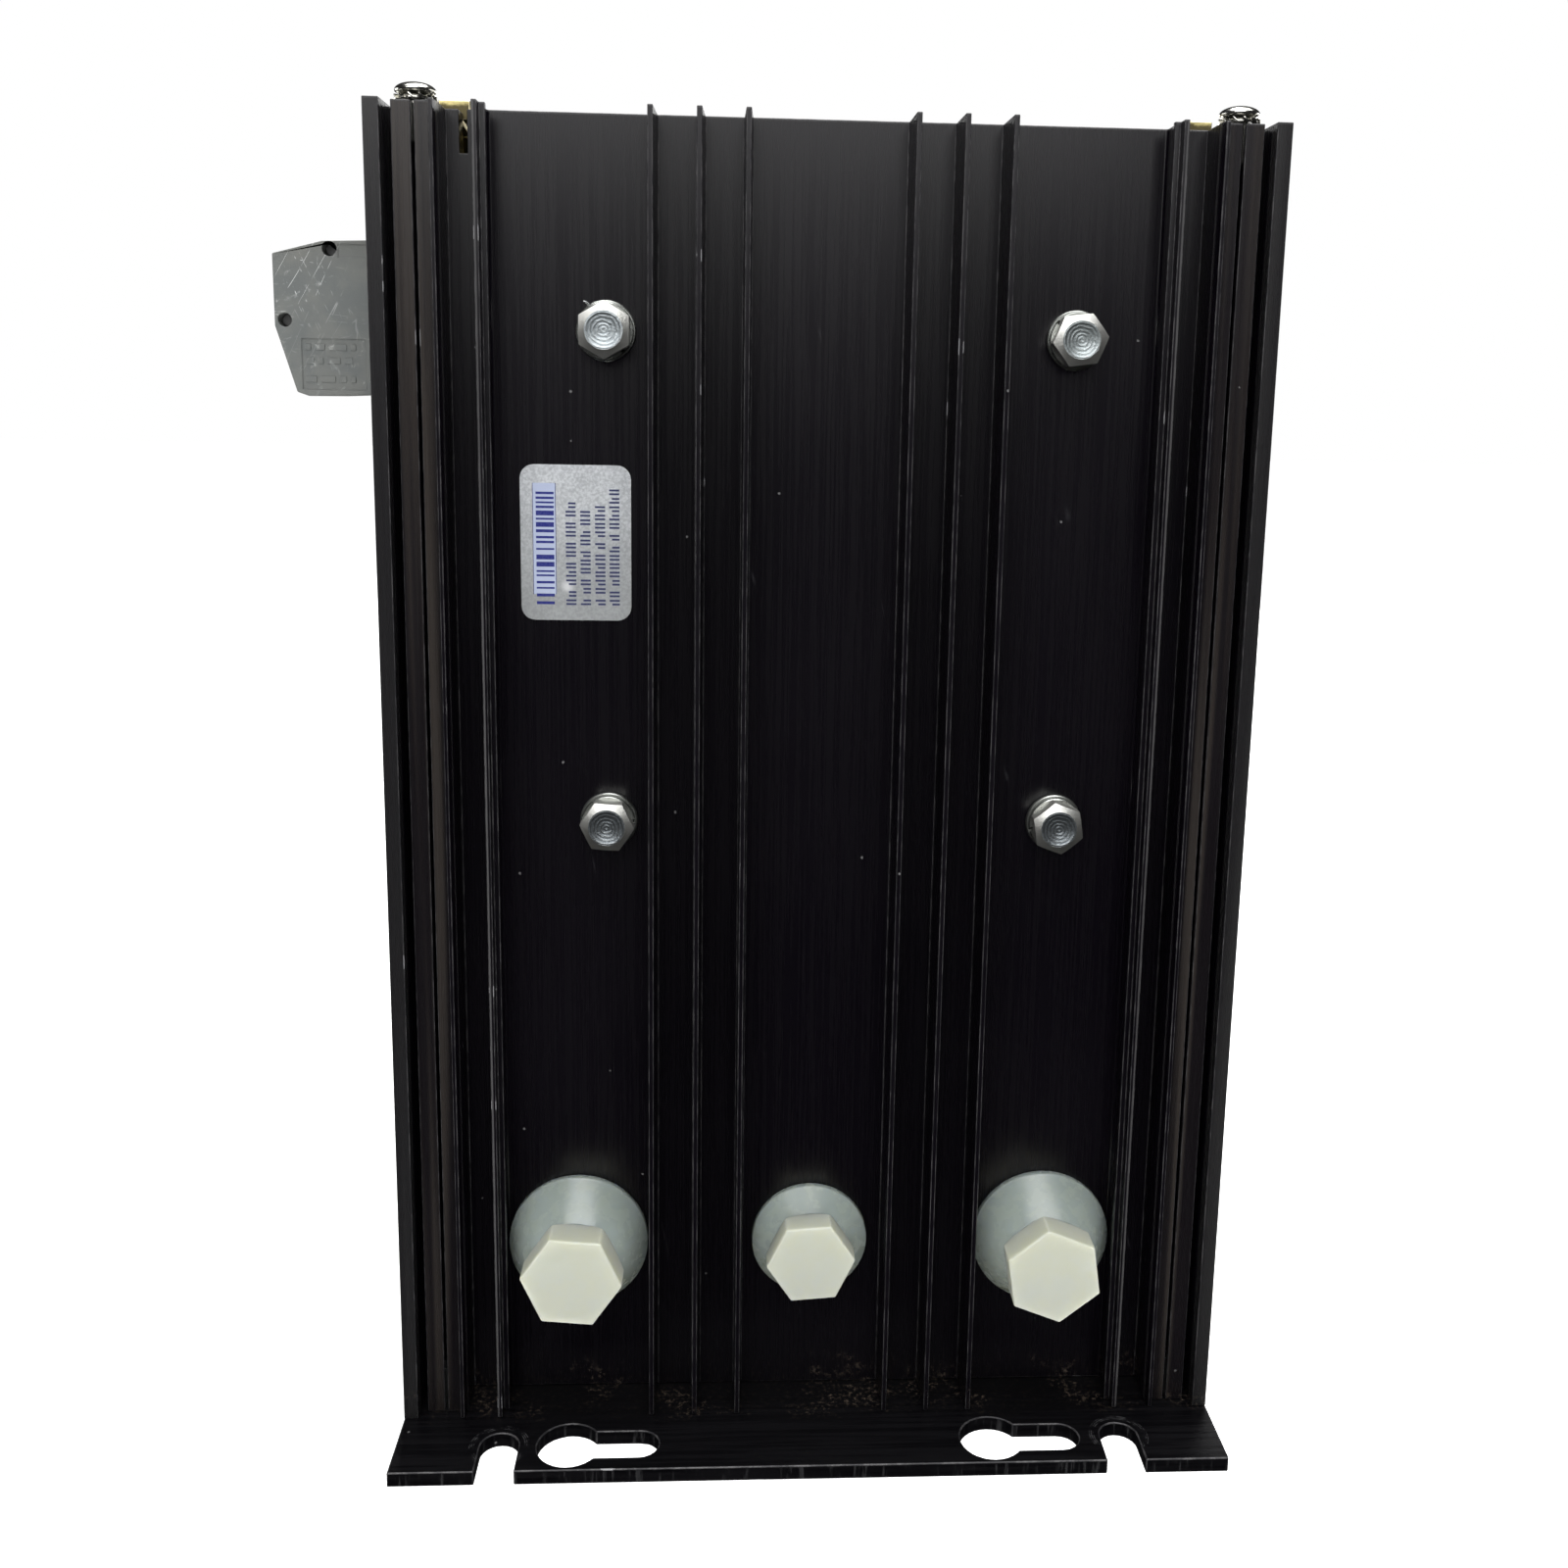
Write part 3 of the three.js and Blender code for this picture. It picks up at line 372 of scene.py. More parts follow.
def make_speck_group():
    """Small round specks, in only some of the cells of an even spread."""
    tree, given, result = new_group(
        "specks",
        [("Vector", VECTOR, None), ("Scale", FLOAT, 200.0), ("Share", FLOAT, 0.1), ("Size", FLOAT, 0.2)],
        [("Mask", FLOAT)],
    )
    wavy = noise(tree, given["Vector"], 2600.0, 2.0)
    cells = put(tree, "ShaderNodeTexVoronoi", {"Vector": given["Vector"], "Scale": given["Scale"]})
    uneven = times(tree, cells.outputs["Distance"], maths(tree, "ADD", wavy, 0.5))
    near = maths(tree, "LESS_THAN", uneven, given["Size"])
    pick = put(tree, "ShaderNodeSeparateColor", {"Color": cells.outputs["Color"]})
    chosen = maths(tree, "LESS_THAN", pick.outputs[0], given["Share"])
    tree.links.new(times(tree, near, chosen), result["Mask"])
    return tree


def make_grain_group():
    """Fine even grain for a bump, and soft blotches for a colour."""
    tree, given, result = new_group(
        "grain",
        [("Vector", VECTOR, None), ("Scale", FLOAT, 3000.0)],
        [("Grain", FLOAT), ("Blotch", FLOAT)],
    )
    tree.links.new(noise(tree, given["Vector"], given["Scale"], 4.0, 0.6), result["Grain"])
    blotch_scale = times(tree, given["Scale"], 0.05)
    blotch = noise(tree, given["Vector"], blotch_scale, 3.0)
    tree.links.new(ramp(tree, blotch, 0.35, 0.65), result["Blotch"])
    return tree


def make_scratch_group():
    """Thin broken lines, at a slant to the piece."""
    tree, given, result = new_group(
        "scratches",
        [
            ("Vector", VECTOR, None), ("Slant", VECTOR, (0, 0.6, 0)),
            ("Scale", FLOAT, 120.0), ("Amount", FLOAT, 0.5),
        ],
        [("Mask", FLOAT)],
    )
    placed = mapped(tree, given["Vector"], Rotation=given["Slant"])
    long = mapped(tree, placed, Scale=(1, 1, 0.06))
    lines = noise(tree, long, given["Scale"], 1.0, 0.4)
    off_line = maths(tree, "ABSOLUTE", maths(tree, "SUBTRACT", lines, 0.5))
    thin = ramp(tree, off_line, 0.0, 0.006, 1.0, 0.0)
    patches = noise(tree, placed, times(tree, given["Scale"], 1.3), 2.0)
    shown = ramp(tree, maths(tree, "ADD", patches, given["Amount"]), 1.0, 1.12)
    tree.links.new(times(tree, thin, shown), result["Mask"])
    return tree


def make_ring_group():
    """Rings that a lathe leaves on an end face which looks along Y. The vector is centred on the axis."""
    tree, given, result = new_group(
        "turned_rings",
        [("Vector", VECTOR, None), ("Pitch", FLOAT, 0.0005), ("Wobble", FLOAT, 0.3)],
        [("Height", FLOAT), ("Radius", FLOAT)],
    )
    parts = axes(tree, given["Vector"])
    flat = put(tree, "ShaderNodeCombineXYZ", {"X": parts["X"], "Y": parts["Z"]})
    radius = length(tree, flat.outputs[0])
    shake = times(tree, noise(tree, given["Vector"], 500.0, 3.0), given["Wobble"])
    turns = maths(tree, "ADD", maths(tree, "DIVIDE", radius, given["Pitch"]), shake)
    height = maths(tree, "SINE", times(tree, turns, math.tau))
    tree.links.new(height, result["Height"])
    tree.links.new(radius, result["Radius"])
    return tree


BAND = make_band_group()
DIE_LINES = make_die_line_group()
SPECKS = make_speck_group()
GRAIN = make_grain_group()
SCRATCHES = make_scratch_group()
RINGS = make_ring_group()


def use(tree, group, **inputs):
    """Places a group in a material with its inputs, and gives its outputs by name."""
    return put(tree, "ShaderNodeGroup", inputs, node_tree=group).outputs


def new_finish(name, **constants):
    """Material with a Principled shader. Returns it, its tree, its shader and the object coordinates."""
    material = bpy.data.materials.new(name)
    material.use_nodes = True
    tree = material.node_tree
    shader = tree.nodes["Principled BSDF"]
    for key, value in constants.items():
        shader.inputs[key.replace("_", " ")].default_value = value
    coordinates = tree.nodes.new("ShaderNodeTexCoord").outputs["Object"]
    return material, tree, shader, coordinates


def bump(tree, shader, height, distance, strength=1.0):
    made = put(tree, "ShaderNodeBump", {"Height": height, "Distance": distance, "Strength": strength})
    tree.links.new(made.outputs["Normal"], shader.inputs["Normal"])


def feed(tree, shader, **outputs):
    for key, socket in outputs.items():
        tree.links.new(socket, shader.inputs[key.replace("_", " ")])


# ---- Finishes ---------------------------------------------------------------


def soft_band(tree, value, low, high, soft):
    return use(tree, BAND, Value=value, Low=low, High=high, Soft=soft)["Mask"]


def dusted(tree, coordinates, colour, rough):
    """Loose grit at the foot of the fins, and a few pale specks higher up."""
    parts = axes(tree, coordinates)
    foot = ramp(tree, parts["Z"], PLATE_HIGH.z, PLATE_HIGH.z + 9 * MM, 1.0, 0.0)
    near_web = ramp(tree, parts["Y"], TIP_Y - 3 * MM, TIP_Y + 4 * MM)
    settled = times(tree, foot, near_web)
    clumps = ramp(tree, noise(tree, coordinates, 900.0, 5.0, 0.75), 0.5, 0.72)
    patches = ramp(tree, noise(tree, coordinates, 85.0, 3.0), 0.5, 0.62, 0.08, 1.0)
    clumps = times(tree, clumps, patches)
    grit = times(tree, settled, clumps, 0.85)
    colour = blend_colours(tree, grit, colour, (0.13, 0.10, 0.075))
    specks = use(tree, SPECKS, Vector=coordinates, Scale=110.0, Share=0.045, Size=0.035)["Mask"]
    colour = tint(tree, colour, specks, 0.8, (0.42, 0.41, 0.38))
    lint = use(tree, SPECKS, Vector=coordinates, Scale=420.0, Share=0.012, Size=0.12)["Mask"]
    colour = tint(tree, colour, lint, 0.25, (0.3, 0.3, 0.3))
    dirt = maths(tree, "MAXIMUM", maths(tree, "MAXIMUM", grit, specks), times(tree, lint, 0.5))
    return colour, ramp(tree, dirt, 0.0, 1.0, rough, 0.9)


def extruded_black():
    """Black anodising over die lines, made greyer by a painted streaky sheen on the screw ports and by
    painted highlight lines along a few places down the front.
    """
    material, tree, shader, here = new_finish("black_anodising", Metallic=0.0, Specular_IOR_Level=0.45)
    lines = use(tree, DIE_LINES, Vector=here, Density=1500.0)
    parts = axes(tree, here)
    clouds = ramp(tree, noise(tree, here, 14.0, 3.0), 0.35, 0.65)
    dye = blend_colours(tree, clouds, (0.0012, 0.0006, 0.0020), (0.0022, 0.0015, 0.0030))
    dye = tint(tree, dye, lines["Fine"], 0.5, (0.0024, 0.0018, 0.0032))
    from_middle = maths(tree, "ABSOLUTE", parts["X"])
    boss_x = soft_band(tree, from_middle, *PORT_FACES, 0.0004)
    boss_y = soft_band(tree, parts["Y"], TIP_Y + 1.9 * MM, TIP_Y + 3.1 * MM, 0.0002)
    boss = times(tree, boss_x, boss_y)
    # Painted sheen: a greyer, streaky highlight on the faces of the screw ports.
    painted_sheen_streak = times(tree, boss, ramp(tree, lines["Broad"], 0.2, 0.9, 0.1, 0.85))
    dye = blend_colours(tree, painted_sheen_streak, dye, (0.024, 0.0195, 0.0165))
    near_tip = maths(tree, "LESS_THAN", parts["Y"], TIP_Y + 3.2 * MM)
    # Painted highlights: pale lines down a few edges of the front, where light catches them.
    for low, high, tone in FRONT_HIGHLIGHTS:
        highlight_line = times(tree, soft_band(tree, from_middle, low, high, 0.00015), near_tip)
        highlight_line = times(tree, highlight_line, ramp(tree, lines["Broad"], 0.0, 1.0, 0.55, 1.0))
        dye = blend_colours(tree, highlight_line, dye, (tone, tone * 0.98, tone))
    cut_end = soft_band(tree, parts["Z"], SINK_HIGH.z - 0.45 * MM, SINK_HIGH.z + 1 * MM, 0.00012)
    dye = tint(tree, dye, cut_end, 0.7, (0.032, 0.031, 0.032))
    scuffs = use(tree, SCRATCHES, Vector=here, Slant=(0, 0.25, 0), Scale=60.0, Amount=0.36)["Mask"]
    dye = tint(tree, dye, scuffs, 0.35, (0.05, 0.05, 0.055))
    satin = ramp(tree, lines["Fine"], 0.0, 1.0, 0.25, 0.29)
    colour, rough = dusted(tree, here, dye, satin)
    feed(tree, shader, Base_Color=colour, Roughness=rough)
    height = maths(tree, "ADD", lines["Fine"], times(tree, lines["Broad"], 1.5))
    bump(tree, shader, height, 0.0014 * MM, 0.3)
    return material


def worn_black():
    """The rounded edges of the black pieces, where the dye is thin."""
    material, tree, shader, here = new_finish("black_anodising_edge", Metallic=0.25, Specular_IOR_Level=0.5)
    rub = ramp(tree, noise(tree, here, 260.0, 4.0, 0.7), 0.42, 0.62)
    colour = blend_colours(tree, rub, (0.018, 0.0175, 0.02), (0.062, 0.06, 0.062))
    nicks = use(tree, SPECKS, Vector=here, Scale=160.0, Share=0.05, Size=0.25)["Mask"]
    colour = tint(tree, colour, nicks, 0.7, (0.3, 0.3, 0.31))
    feed(tree, shader, Base_Color=colour, Roughness=ramp(tree, rub, 0, 1, 0.42, 0.32))
    bump(tree, shader, rub, 0.02 * MM, 0.5)
    return material


def plate_black():
    """The base plate: the same black, with scuffed cut edges and rings worn round the side slots."""
    material, tree, shader, here = new_finish("plate_anodising", Metallic=0.0, Specular_IOR_Level=0.12)
    parts = axes(tree, here)
    brushed = mapped(tree, here, Scale=(0.03, 1, 1))
    strokes = ramp(tree, noise(tree, brushed, 800.0, 4.0, 0.7), 0.38, 0.62)
    dye = blend_colours(tree, strokes, (0.0010, 0.0009, 0.0014), (0.0024, 0.0022, 0.003))
    from_middle = maths(tree, "ABSOLUTE", parts["X"])
    across = maths(tree, "SUBTRACT", from_middle, SIDE_SLOT_X)
    along = maths(tree, "SUBTRACT", parts["Y"], PLATE_LOW.y + HOLE_ROW)
    spot = put(tree, "ShaderNodeCombineXYZ", {"X": across, "Y": along})
    reach = length(tree, spot.outputs[0])
    rub_ring = soft_band(tree, reach, 5.2 * MM, 6.7 * MM, 0.0004)
    circles = maths(tree, "SINE", times(tree, reach, 14000.0))
    broken = ramp(tree, noise(tree, here, 420.0, 4.0, 0.7), 0.48, 0.62)
    worn = times(tree, rub_ring, broken, ramp(tree, circles, -0.2, 1.0))
    top_only = maths(tree, "GREATER_THAN", parts["Z"], PLATE_HIGH.z - 0.05 * MM)
    worn = times(tree, worn, top_only)
    dye = tint(tree, dye, worn, 0.55, (0.12, 0.12, 0.125))
    sides = maths(tree, "LESS_THAN", parts["Z"], PLATE_HIGH.z - 0.3 * MM)
    sawn = mapped(tree, here, Rotation=(0, 0.5, 0), Scale=(1, 1, 0.1))
    marks = ramp(tree, noise(tree, sawn, 900.0, 3.0, 0.6), 0.55, 0.7)
    marks = times(tree, marks, sides, 0.5)
    dye = blend_colours(tree, marks, dye, (0.03, 0.03, 0.032))
    colour, rough = dusted(tree, here, dye, ramp(tree, strokes, 0, 1, 0.36, 0.5))
    feed(tree, shader, Base_Color=colour, Roughness=rough)
    bump(tree, shader, strokes, 0.015 * MM, 0.5)
    return material


def blotched(name, scale, colours, rough, depth=0.0, strength=0.5, **constants):
    """Two colours in soft blotches, with a fine grain under them where a depth is given."""
    material, tree, shader, here = new_finish(name, **constants)
    grain = use(tree, GRAIN, Vector=here, Scale=scale)
    colour = blend_colours(tree, grain["Blotch"], *colours)
    feed(tree, shader, Base_Color=colour, Roughness=ramp(tree, grain["Blotch"], 0, 1, *rough))
    if depth:
        bump(tree, shader, grain["Grain"], depth, strength)
    return material


def zinc(name, tone=(0.56, 0.58, 0.58)):
    """Bright zinc plate on rolled steel, with a dull bloom in patches."""
    return blotched(name, 2600.0, (tone, paled(tone, 0.72)), (0.24, 0.4), 0.03 * MM, Metallic=1.0)


def ringed_zinc(name, centre, tone):
    """A hexagon head's end face: lathe rings round its middle, and a paler rim."""
    material, tree, shader, here = new_finish(name, Metallic=1.0)
    centred = mapped(tree, here, Location=tuple(-c for c in centre))
    rings = use(tree, RINGS, Vector=centred, Pitch=0.74 * MM, Wobble=1.3)
    fine = use(tree, RINGS, Vector=centred, Pitch=0.21 * MM, Wobble=1.4)
    grain = use(tree, GRAIN, Vector=here, Scale=2200.0)
    pits = ramp(tree, noise(tree, here, 3200.0, 3.0, 0.65), 0.4, 0.62)
    colour = blend_colours(tree, grain["Blotch"], tone, paled(tone, 0.75))
    colour = tint(tree, colour, pits, 0.45, paled(tone, 0.5))
    groove = ramp(tree, rings["Height"], 0.0, 0.95)
    colour = tint(tree, colour, groove, 0.4, (0.8, 0.84, 0.84))
    cone = ramp(tree, rings["Radius"], HEX_FACE - 0.1 * MM, HEX_FACE + 0.1 * MM)
    colour = blend_colours(tree, cone, colour, (0.80, 0.80, 0.76))
    dull = ramp(tree, groove, 0, 1, 0.48, 0.32)
    rough = put(tree, "ShaderNodeMix", {0: cone, 2: dull, 3: 0.45}, data_type="FLOAT").outputs[0]
    feed(tree, shader, Base_Color=colour, Roughness=rough)
    flat = maths(tree, "SUBTRACT", 1.0, cone)
    height = maths(tree, "ADD", rings["Height"], times(tree, fine["Height"], 0.4))
    height = times(tree, height, 0.5, flat)
    height = maths(tree, "ADD", height, times(tree, grain["Grain"], 1.5))
    bump(tree, shader, height, 0.05 * MM, 0.8)
    return material


def nylon(name, pale, shade_tone, roughness, low, high, mark=None):
    """Natural nylon, with painted shade making it a little deeper in colour towards its lower side, and a
    gate scar at a mark.
    """
    material, tree, shader, here = new_finish(
        name, Subsurface_Weight=0.85, Subsurface_Scale=0.008, Coat_Weight=0.08, IOR=1.53,
    )
    shader.inputs["Subsurface Radius"].default_value = (1.0, 0.95, 0.7)
    grain = use(tree, GRAIN, Vector=here, Scale=5200.0)
    parts = axes(tree, here)
    # Painted shade: the colour goes deeper towards the lower side.
    painted_shade_drop = ramp(tree, parts["Z"], low, high, 1.0, 0.0)
    colour = blend_colours(tree, times(tree, painted_shade_drop, 0.75), pale, shade_tone)
    warm = tuple(c * k for c, k in zip(pale, (1.0, 0.97, 0.86)))
    colour = tint(tree, colour, grain["Blotch"], 0.35, warm)
    specks = use(tree, SPECKS, Vector=here, Scale=900.0, Share=0.03, Size=0.2)["Mask"]
    colour = tint(tree, colour, specks, 0.3, (0.35, 0.34, 0.28))
    height = grain["Grain"]
    if mark:
        scar = mapped(tree, here, Location=(-mark[0], 0, -mark[1]), Scale=(1.5, 0, 1))
        reach = length(tree, scar)
        ring = soft_band(tree, reach, 0.55 * MM, 0.85 * MM, 0.0001)
        height = maths(tree, "SUBTRACT", height, times(tree, ring, 4.0))
        colour = tint(tree, colour, ring, 0.4, (0.35, 0.37, 0.33))
    rough = ramp(tree, grain["Blotch"], 0, 1, roughness, roughness + 0.05)
    feed(tree, shader, Base_Color=colour, Roughness=rough)
    bump(tree, shader, height, 0.035 * MM, 0.6)
    return material


def foil():
    """Silver foil with a fine crushed grain, painted shade towards its bottom, and one dent where it has
    been pressed, with a painted glint on it.
    """
    material, tree, shader, here = new_finish("silver_foil", Metallic=0.55)
    grain = use(tree, GRAIN, Vector=here, Scale=1900.0)
    crush = ramp(tree, grain["Grain"], 0.36, 0.66)
    colour = blend_colours(tree, crush, (0.42, 0.435, 0.455), (0.60, 0.62, 0.64))
    parts = axes(tree, here)
    # Painted shade: the foil darker towards its bottom edge.
    rise = ramp(tree, parts["Z"], LABEL_LOW.z, LABEL_HIGH.z, 0.6, 0.0)
    colour = blend_colours(tree, rise, colour, (0.26, 0.27, 0.265))
    dent_at = (-LABEL_LOW.x - 9.6 * MM, 0, -LABEL_LOW.z - 7.3 * MM)
    dented = mapped(tree, here, Location=dent_at)
    flat = put(tree, "ShaderNodeVectorMath", {0: dented, 1: (1, 0, 1)}, operation="MULTIPLY")
    reach = length(tree, flat.outputs[0])
    # The dent's mask also tints the foil pale: a painted highlight over the real dent.
    dent_and_painted_glint = ramp(tree, reach, 0.2 * MM, 2.0 * MM, 1.0, 0.0)
    colour = tint(tree, colour, dent_and_painted_glint, 0.55, (0.9, 0.9, 0.92))
    feed(tree, shader, Base_Color=colour, Roughness=ramp(tree, grain["Blotch"], 0, 1, 0.38, 0.5))
    height = maths(tree, "ADD", grain["Grain"], times(tree, dent_and_painted_glint, -2.0))
    bump(tree, shader, height, 0.06 * MM, 0.6)
    return material


def ink(name, colour):
    material, tree, shader, here = new_finish(name, Specular_IOR_Level=0.12)
    grain = use(tree, GRAIN, Vector=here, Scale=5000.0)
    worn = ramp(tree, grain["Grain"], 0.3, 0.8, 0.0, 0.12)
    feed(tree, shader, Base_Color=blend_colours(tree, worn, colour, (0.35, 0.37, 0.44)))
    feed(tree, shader, Roughness=ramp(tree, grain["Blotch"], 0, 1, 0.4, 0.55))
    return material


def chromate():
    """Yellow chromate on zinc, with the greens and pinks of its thin film."""
    material, tree, shader, here = new_finish("yellow_chromate", Metallic=0.9)
    slow = noise(tree, here, 9.0, 3.0, 0.5, 0.6)
    film = blend_colours(tree, ramp(tree, slow, 0.35, 0.6), (0.58, 0.45, 0.19), (0.53, 0.46, 0.21))
    film = blend_colours(tree, ramp(tree, slow, 0.55, 0.75), film, (0.58, 0.42, 0.23))
    grain = use(tree, GRAIN, Vector=here, Scale=2000.0)
    film = tint(tree, film, grain["Blotch"], 0.25, (0.46, 0.36, 0.15))
    scuffs = use(tree, SCRATCHES, Vector=here, Slant=(0.3, 0.5, 0.2), Scale=70.0, Amount=0.4)["Mask"]
    film = tint(tree, film, scuffs, 0.5, (0.6, 0.58, 0.5))
    parts = axes(tree, here)
    # Painted shade: the front face goes dark below a narrow rim at its top edge, with a ragged border.
    front = maths(tree, "LESS_THAN", parts["Y"], COVER_LOW.y + 0.05 * MM)
    shade_edge_noise = times(tree, noise(tree, here, 500.0, 4.0, 0.7), 2.4 * MM)
    depth = maths(tree, "ADD", maths(tree, "SUBTRACT", COVER_HIGH.z, parts["Z"]), shade_edge_noise)
    painted_inner_shade = times(tree, front, ramp(tree, depth, 1.5 * MM, 2.4 * MM))
    film = tint(tree, film, painted_inner_shade, 0.88, (0.03, 0.024, 0.014))
    feed(tree, shader, Base_Color=film, Roughness=ramp(tree, grain["Blotch"], 0, 1, 0.3, 0.42))
    bump(tree, shader, grain["Grain"], 0.02 * MM, 0.5)
    return material


def grey_moulding():
    """Grey thermoplastic with a fine grain, handling scratches and pale dust rubbed into it."""
    material, tree, shader, here = new_finish("grey_moulding", Specular_IOR_Level=0.4)
    grain = use(tree, GRAIN, Vector=here, Scale=3600.0)
    grey = blend_colours(tree, grain["Blotch"], (0.098, 0.106, 0.104), (0.122, 0.127, 0.12))
    parts = axes(tree, here)
    up = ramp(tree, parts["Z"], BLOCK_HIGH.z - 9 * MM, BLOCK_HIGH.z)
    smears = ramp(tree, noise(tree, here, 330.0, 5.0, 0.7, 0.8), 0.56, 0.78)
    low = ramp(tree, parts["Z"], BLOCK_LOW.z + 11.5 * MM, BLOCK_LOW.z + 13 * MM, 1.0, 0.12)
    outer = ramp(tree, parts["X"], BLOCK_LOW.x + 9 * MM, BLOCK_LOW.x + 15 * MM, 1.0, 0.0)
    upper = ramp(tree, parts["Z"], BLOCK_HIGH.z - 18 * MM, BLOCK_HIGH.z - 8 * MM)
    corner = times(tree, outer, upper)
    dust = times(tree, smears, maths(tree, "MAXIMUM", low, corner))
    grey = tint(tree, grey, dust, 0.75, (0.4, 0.41, 0.4))
    grey = tint(tree, grey, up, 0.25, (0.12, 0.11, 0.09))
    for slant, scale, amount in ((-0.5, 260.0, 0.57), (0.42, 320.0, 0.45), (1.45, 300.0, 0.47)):
        lines = use(tree, SCRATCHES, Vector=here, Slant=(0, slant, 0), Scale=scale, Amount=amount)["Mask"]
        lines = times(tree, lines, maths(tree, "ADD", corner, 0.12))
        grey = blend_colours(tree, lines, grey, (0.62, 0.63, 0.62))
    feed(tree, shader, Base_Color=grey, Roughness=ramp(tree, grain["Blotch"], 0, 1, 0.5, 0.66))
    height = maths(tree, "ADD", grain["Grain"], times(tree, smears, 0.5))
    bump(tree, shader, height, 0.04 * MM, 0.6)
    return material


def plastic(name, colour, roughness):
    """Plain moulded plastic for the small parts inside."""
    paler = tuple(min(1.0, c * 1.35 + 0.004) for c in colour)
    return blotched(name, 3000.0, (colour, paler), (roughness, roughness + 0.12), 0.03 * MM)


def solder_mask():
    """Green circuit board, with the paler green of the copper under it."""
    material, tree, shader, here = new_finish("solder_mask", Coat_Weight=0.4, Coat_Roughness=0.15)
    turned_flat = mapped(tree, here, Rotation=(math.pi / 2, 0, 0))
    tracks = put(tree, "ShaderNodeTexBrick", {
        "Vector": turned_flat, "Scale": 1.0, "Mortar Size": 0.0006, "Brick Width": 0.017,
        "Row Height": 0.0052, "Color1": (0, 0, 0, 1), "Color2": (0, 0, 0, 1), "Mortar": (1, 1, 1, 1),
    })
    colour = blend_colours(tree, tracks.outputs["Color"], (0.012, 0.10, 0.035), (0.03, 0.2, 0.07))
    rough = ramp(tree, noise(tree, here, 900.0), 0.3, 0.7, 0.35, 0.5)
    feed(tree, shader, Base_Color=colour, Roughness=rough)
    bump(tree, shader, tracks.outputs["Fac"], 0.03 * MM, 0.5)
    return material


BLACK = extruded_black()
BLACK_EDGE = worn_black()
PLATE_BLACK = plate_black()
ZINC = zinc("zinc_plate")
WASHER_ZINC = zinc("washer_zinc", (0.50, 0.515, 0.49))
NICKEL = blotched(
    "bright_nickel", 1500.0, ((0.72, 0.71, 0.66), (0.58, 0.57, 0.53)), (0.18, 0.26), 0.003 * MM, 0.3,
    Metallic=1.0,
)
FOIL = foil()
BLUE_INK = ink("blue_ink", (0.004, 0.008, 0.12))
DARK_INK = ink("dark_blue_ink", (0.014, 0.018, 0.075))
BAND_INK = ink("pale_blue_tint", (0.29, 0.325, 0.43))
CHROMATE = chromate()
CUT_EDGE = zinc("cut_edge", (0.78, 0.70, 0.46))
GREY = grey_moulding()
BRASS = blotched(
    "tinned_brass", 2400.0, ((0.66, 0.60, 0.42), (0.52, 0.45, 0.28)), (0.28, 0.42), 0.02 * MM, Metallic=1.0,
)
PIN_GREY = plastic("pin_grey", (0.07, 0.07, 0.07), 0.4)
MODULE_BLACK = plastic("black_moulding", (0.016, 0.016, 0.018), 0.45)
COPPER = blotched(
    "enamelled_copper", 1800.0, ((0.48, 0.17, 0.06), (0.34, 0.11, 0.04)), (0.3, 0.42),
    Metallic=0.75, Coat_Weight=0.5, Coat_Roughness=0.2,
)
BOARD_GREEN = solder_mask()
NUT_NYLON = nylon("nut_nylon", (0.74, 0.735, 0.60), (0.6, 0.6, 0.5), 0.42, 0.0, 0.06)

# ---- Heat sink and base plate ------------------------------------------------


def edged(piece, width, face_material, edge_material, segments=2):
    """Rounds the edges, and gives the rounded faces a finish of their own."""
    piece.data.materials.append(face_material)
    piece.data.materials.append(edge_material)
    return apply(
        piece, "BEVEL", width=width, segments=segments, limit_method="ANGLE", material=1,
        angle_limit=math.radians(40), use_clamp_overlap=False,
    )


def make_heat_sink():
    sink = edged(copied("heatsink", "finned_extrusion"), 0.16 * MM, BLACK, BLACK_EDGE)
    hand_over(sink, BLACK, ["heatsink"])


def make_base_plate():
    plate = edged(copied("base_plate", "slotted_plate"), 0.28 * MM, PLATE_BLACK, BLACK_EDGE)
    hand_over(plate, PLATE_BLACK, ["base_plate"])


# ---- Hexagon heads ----------------------------------------------------------


def corner_turn(node, centre):
    """How far the head's nearest corner is turned from +X, seen from the front."""
    points = [vertex.co for vertex in frame["nodes"][node].data.vertices]
    front = min(point.y for point in points)
    head = [point - centre for point in points if point.y < front + HEX_HEAD * 0.6]
    far = max(head, key=lambda point: point.x ** 2 + point.z ** 2)
    return math.atan2(far.z, far.x)


def stand_out(piece, centre, turn, y):
    """Turns a piece that was made facing +Z to face -Y, on an axis through centre, its z = 0 at y."""
    take(piece)
    piece.matrix_world = (
        Matrix.Translation((centre.x, y, centre.z))
        @ Matrix.Rotation(math.pi / 2, 4, "X")
        @ Matrix.Rotation(turn, 4, "Z")
    )
    bpy.ops.object.transform_apply(location=True, rotation=True, scale=True)
    return piece


def steel_head():
    """Six flats with softened corners, the end face turned to a cone at its rim."""
    corner = HEX_FLATS / math.sqrt(3)
    head = round_edges(post("steel_head", corner, 0, HEX_HEAD, sides=6), 0.18 * MM, 3)
    face = HEX_FACE
    blank = turned("blank", [
        (0, 0), (corner - 0.3 * MM, 0), (corner, 0.2 * MM), (corner, HEX_HEAD - 0.85 * MM),
        (face + 0.12 * MM, HEX_HEAD - 0.08 * MM), (face, HEX_HEAD - 0.01 * MM),
        (face - 0.5 * MM, HEX_HEAD - 0.01 * MM), (face - 0.62 * MM, HEX_HEAD - 0.07 * MM),
        (0, HEX_HEAD - 0.07 * MM),
    ])
    return boolean(head, "INTERSECT", blank)


